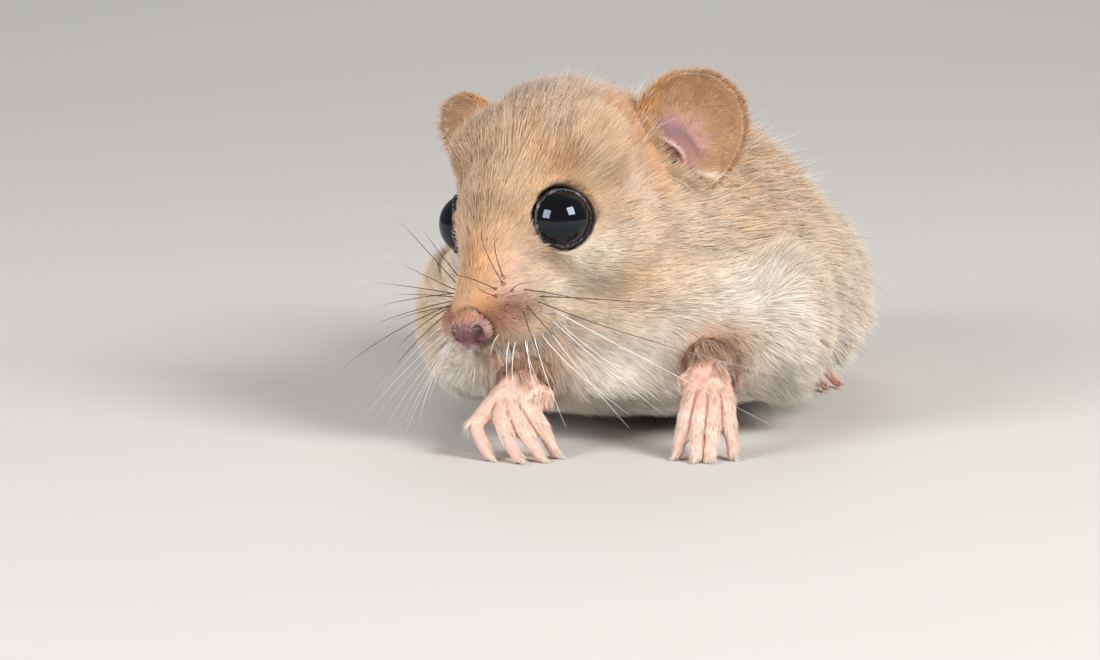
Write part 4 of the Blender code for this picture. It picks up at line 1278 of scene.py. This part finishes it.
def whisker_tree():
    """Lines turned into round bristles that thin to nothing at their tips."""
    tree = bpy.data.node_groups.new("bristles", "GeometryNodeTree")
    face = tree.interface
    kinds = {"Lines": "Geometry", "Sides": "Int", "Thickness": "Float", "Finish": "Material"}
    for name, kind in kinds.items():
        face.new_socket(name, in_out="INPUT", socket_type="NodeSocket" + kind)
    face.new_socket("Bristles", in_out="OUTPUT", socket_type="NodeSocketGeometry")
    start = node(tree, "NodeGroupInput").outputs
    line = node(tree, "GeometryNodeMeshToCurve", {}, {"Mesh": start["Lines"]})
    along = node(tree, "GeometryNodeSplineParameter").outputs["Factor"]
    ends = {"From Min": 0.0, "From Max": 1.0, "To Min": 1.0, "To Max": 0.12}
    taper = node(tree, "ShaderNodeMapRange", ends, {"Value": along}).outputs["Result"]
    parts = {0: taper, 1: start["Thickness"]}
    radius = node(tree, "ShaderNodeMath", {"operation": "MULTIPLY"}, parts).outputs["Value"]
    parts = {"Curve": line.outputs["Curve"], "Radius": radius}
    sized = node(tree, "GeometryNodeSetCurveRadius", {}, parts)
    parts = {"Resolution": start["Sides"]}
    ring = node(tree, "GeometryNodeCurvePrimitiveCircle", {"Radius": 1.0}, parts)
    parts = {"Curve": sized.outputs["Curve"], "Profile Curve": ring.outputs["Curve"]}
    tube = node(tree, "GeometryNodeCurveToMesh", {"Fill Caps": True}, parts)
    if "Scale" in tube.inputs:
        tree.links.new(radius, tube.inputs["Scale"])
    smooth = node(tree, "GeometryNodeSetShadeSmooth", {}, {"Geometry": tube.outputs["Mesh"]})
    real = node(tree, "GeometryNodeRealizeInstances", {}, {"Geometry": smooth.outputs["Geometry"]})
    parts = {"Geometry": real.outputs["Geometry"], "Material": start["Finish"]}
    finish = node(tree, "GeometryNodeSetMaterial", {}, parts)
    node(tree, "NodeGroupOutput", {}, {"Bristles": finish.outputs["Geometry"]})
    return tree


def bristled(name, lines, thickness, tones, sides=5):
    """The lines, each a row of points, as one mesh of tapered bristles."""
    edges, start = [], 0
    for line in lines:
        edges += [(start + i, start + i + 1) for i in range(len(line) - 1)]
        start += len(line)
    mesh = bpy.data.meshes.new(name)
    mesh.from_pydata([tuple(p) for p in np.concatenate(lines)], edges, [])
    tinted(mesh, np.concatenate(tones))
    obj = placed(name, mesh, WHISKER_HAIR)
    step = obj.modifiers.new("Bristles", "NODES")
    step.node_group = whisker_tree()
    values = {"Sides": sides, "Thickness": thickness * MM, "Finish": WHISKER_HAIR}
    for socket in step.node_group.interface.items_tree:
        if socket.in_out == "INPUT" and socket.name in values:
            step[socket.identifier] = values[socket.name]
    return applied(obj)


def on_skin(skin_tree, place):
    """The skin's nearest point to a place in head millimetres, and its outward way."""
    spot, up, _, _ = skin_tree.find_nearest(Vector(from_head(place)))
    return np.array(spot), np.array(up)


def bristle_line(spot, way, bend, reach, steps):
    """The points of a bristle that starts along one way and bends towards another."""
    t = np.linspace(0, 1, steps)[:, None]
    return spot + ((way * t + bend * t**2) * reach * MM) @ HEAD_TURN.T


def whiskers(skin_tree, steps=12):
    """The bristles of both whisker pads, each bent back and down, and where they grow."""
    lines, tones, roots = [], [], []
    t = np.linspace(0, 1, steps)
    for sign in (1, -1):
        flip = np.array((sign, 1, 1))
        for root, way, reach, white in WHISKERS:
            root = np.array(root) + CHANCE.normal(0, 0.08, 3)
            way = unit(np.array(way) + CHANCE.normal(0, 0.05, 3))
            bend = np.array((0.10, 0.20, -0.22)) + CHANCE.normal(0, 0.06, 3)
            reach = reach * CHANCE.uniform(1.15, 1.35)
            spot, up = on_skin(skin_tree, root * flip)
            line = bristle_line(spot, way * flip, bend * flip, reach, steps)
            lines.append(above_floor(line, WHISKER_FLOOR))
            if not white:
                roots.append((spot, up))
            share = np.full(steps, 0.9) if white else eased(0.5, 1.0, t) * 0.85
            tones.append(painted(plain("54341F", t), ("F6F0EA", share)))
        roots += [on_skin(skin_tree, spot * flip) for spot in FOLLICLE_SPOTS]
    return bristled("whiskers", lines, 0.05, tones), roots


def lip_hair(skin_tree, steps=5):
    """A fringe of short pale hair that hangs over the line of the mouth."""
    lines, tones = [], []
    for sign in (1, -1):
        flip = np.array((sign, 1, 1))
        for _ in range(170):
            place = CHANCE.uniform(0, len(LIP_LINE) - 1.001)
            k = int(place)
            root = LIP_LINE[k] + (LIP_LINE[k + 1] - LIP_LINE[k]) * (place - k)
            root = root + (0, 0, CHANCE.uniform(0.2, 0.9))
            way = unit(np.array((0.18, -0.35, -1.0)) + CHANCE.normal(0, 0.16, 3))
            reach = CHANCE.uniform(1.0, 2.3)
            spot = on_skin(skin_tree, root * flip)[0]
            lines.append(bristle_line(spot, way * flip, np.array((0, 0.25, -0.05)), reach, steps))
            tones.append(plain("EFE7DE", range(steps)) * CHANCE.uniform(0.75, 1.0))
    return bristled("lip_hair", lines, 0.022, tones, sides=3)


def follicles(roots, sides=7):
    """The small mauve mound of skin that each whisker grows from."""
    corners, faces = [], []
    turn = np.linspace(0, 2 * math.pi, sides, endpoint=False)[:, None]
    for spot, up in roots:
        across = unit(np.cross(up, (0.3, 0.2, 0.9)))
        along = np.cross(up, across)
        wide = 0.24 * MM * CHANCE.uniform(0.8, 1.2)
        faces += capped_faces(3, sides, len(corners))
        for level, share in ((-0.4, 1.0), (0.3, 0.75), (0.42, 0.3)):
            ring = across * np.cos(turn) + along * np.sin(turn)
            corners += list(spot + ring * wide * share + up * wide * level)
    tone = plain(SPOT, corners) * (1 + 0.2 * CHANCE.normal(size=(len(corners), 1)))
    return placed("follicles", closed_mesh("follicles", corners, faces, np.clip(tone, 0, 1)), BARE_SKIN)


# Floor, light and camera

# Each lamp's name, place, width, power and colour
LAMPS = (
    ("key", (0.31, -0.30, 0.28), 0.22, 2.6, "FFFDFB"),
    ("fill", (-0.34, -0.31, 0.19), 0.22, 1.7, "FCFDFF"),
    ("rim", (0.0, 0.50, 0.40), 0.30, 0.9, "FFFFFF"),
)


def studio(half=1.5):
    """A plain pale floor, a soft key from the left, a fill from the right and a rim behind."""
    mesh = bpy.data.meshes.new("floor")
    corners = [(-half, -half, 0), (half, -half, 0), (half, half, 0), (-half, half, 0)]
    mesh.from_pydata(corners, [], [(0, 1, 2, 3)])
    pale = (*colour("D0CDC8"), 1)
    placed("floor", mesh, shader_of("pale matt floor", Roughness=0.9, Base_Color=pale)[0])
    for name, place, size, power, tint in LAMPS:
        lamp = bpy.data.lights.new(name, "AREA")
        lamp.size = size
        lamp.energy = power
        lamp.color = colour(tint)
        obj = bpy.data.objects.new(name, lamp)
        obj.location = place
        obj.rotation_euler = (-Vector(place)).to_track_quat("-Z", "Y").to_euler()
        bpy.context.scene.collection.objects.link(obj)
    world = bpy.data.worlds.new("studio")
    world.use_nodes = True
    back = world.node_tree.nodes["Background"]
    back.inputs["Color"].default_value = (*colour("EEEEF0"), 1)
    back.inputs["Strength"].default_value = 0.28
    bpy.context.scene.world = world
    bpy.context.scene.view_settings.view_transform = "Standard"


def camera(rise=math.radians(9), distance=0.366):
    """The photograph's view: level with the head, from 9 degrees above."""
    look = Vector(from_body((-4.642, 4.0, 10.251)))
    back = Vector((0, -math.cos(rise), math.sin(rise)))
    lens = bpy.data.cameras.new("camera")
    lens.sensor_width = 36
    lens.lens = 146.1
    lens.clip_start = 0.01
    obj = bpy.data.objects.new("camera", lens)
    obj.location = look + back * distance
    obj.rotation_euler = (-back).to_track_quat("-Z", "Y").to_euler()
    bpy.context.scene.collection.objects.link(obj)
    bpy.context.scene.camera = obj


def declared(obj, slot, *nodes):
    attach(obj, "root")
    if nodes:
        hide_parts(*nodes)


def main():
    camera()
    studio()
    skin = body_skin()
    chart = unwrapped(skin)
    tail = tail_skin()
    tail_chart = unwrapped(tail)
    fur = coat(skin, chart) + tail_coat(tail, tail_chart) + [guard_hair(skin, chart)]
    declared(skin, "coat", *FLESH)
    declared(tail, "coat", *TAIL)
    for word, sign in (("left", 1), ("right", -1)):
        declared(eyeball(f"eyeball_{word}", sign), "eye", f"eye_{word}")
        declared(lid(f"lid_{word}", sign), "eye")
        shell = ear(f"ear_cup_{word}", sign)
        fur.append(ear_hair(f"ear_hair_{word}", shell, sign, unwrapped(shell)))
        declared(shell, "ear", f"ear_{word}")
        limbs = (
            ("hand", f"forepaw_{word}", hand_parts(word), 0.11, 9.0, 90),
            ("foot", f"hindfoot_{word}", foot_parts(sign), 0.2, 60.0, 26),
        )
        for kind, node_name, (bones, tips), voxel, rear_limit, density in limbs:
            limb = limb_end(f"{kind}_{word}", node_name, voxel, bones)
            hair = f"{kind}_hair_{word}"
            fur.append(limb_hair(hair, limb, bones, unwrapped(limb), rear_limit, density))
            declared(limb, "paw", node_name)
            declared(claws(f"{kind}_claws_{word}", tips), "paw")
    pad = nose()
    fur.append(nose_hair(pad, unwrapped(pad)))
    declared(pad, "nose", "nose")
    corners, tris, _ = mesh_arrays(skin.data)
    skin_tree = BVHTree.FromPolygons(corners.tolist(), tris.tolist())
    bristles, roots = whiskers(skin_tree)
    declared(bristles, "coat")
    declared(lip_hair(skin_tree), "coat")
    declared(follicles(roots), "nose")
    for piece in fur:
        declared(piece, "coat")


main()
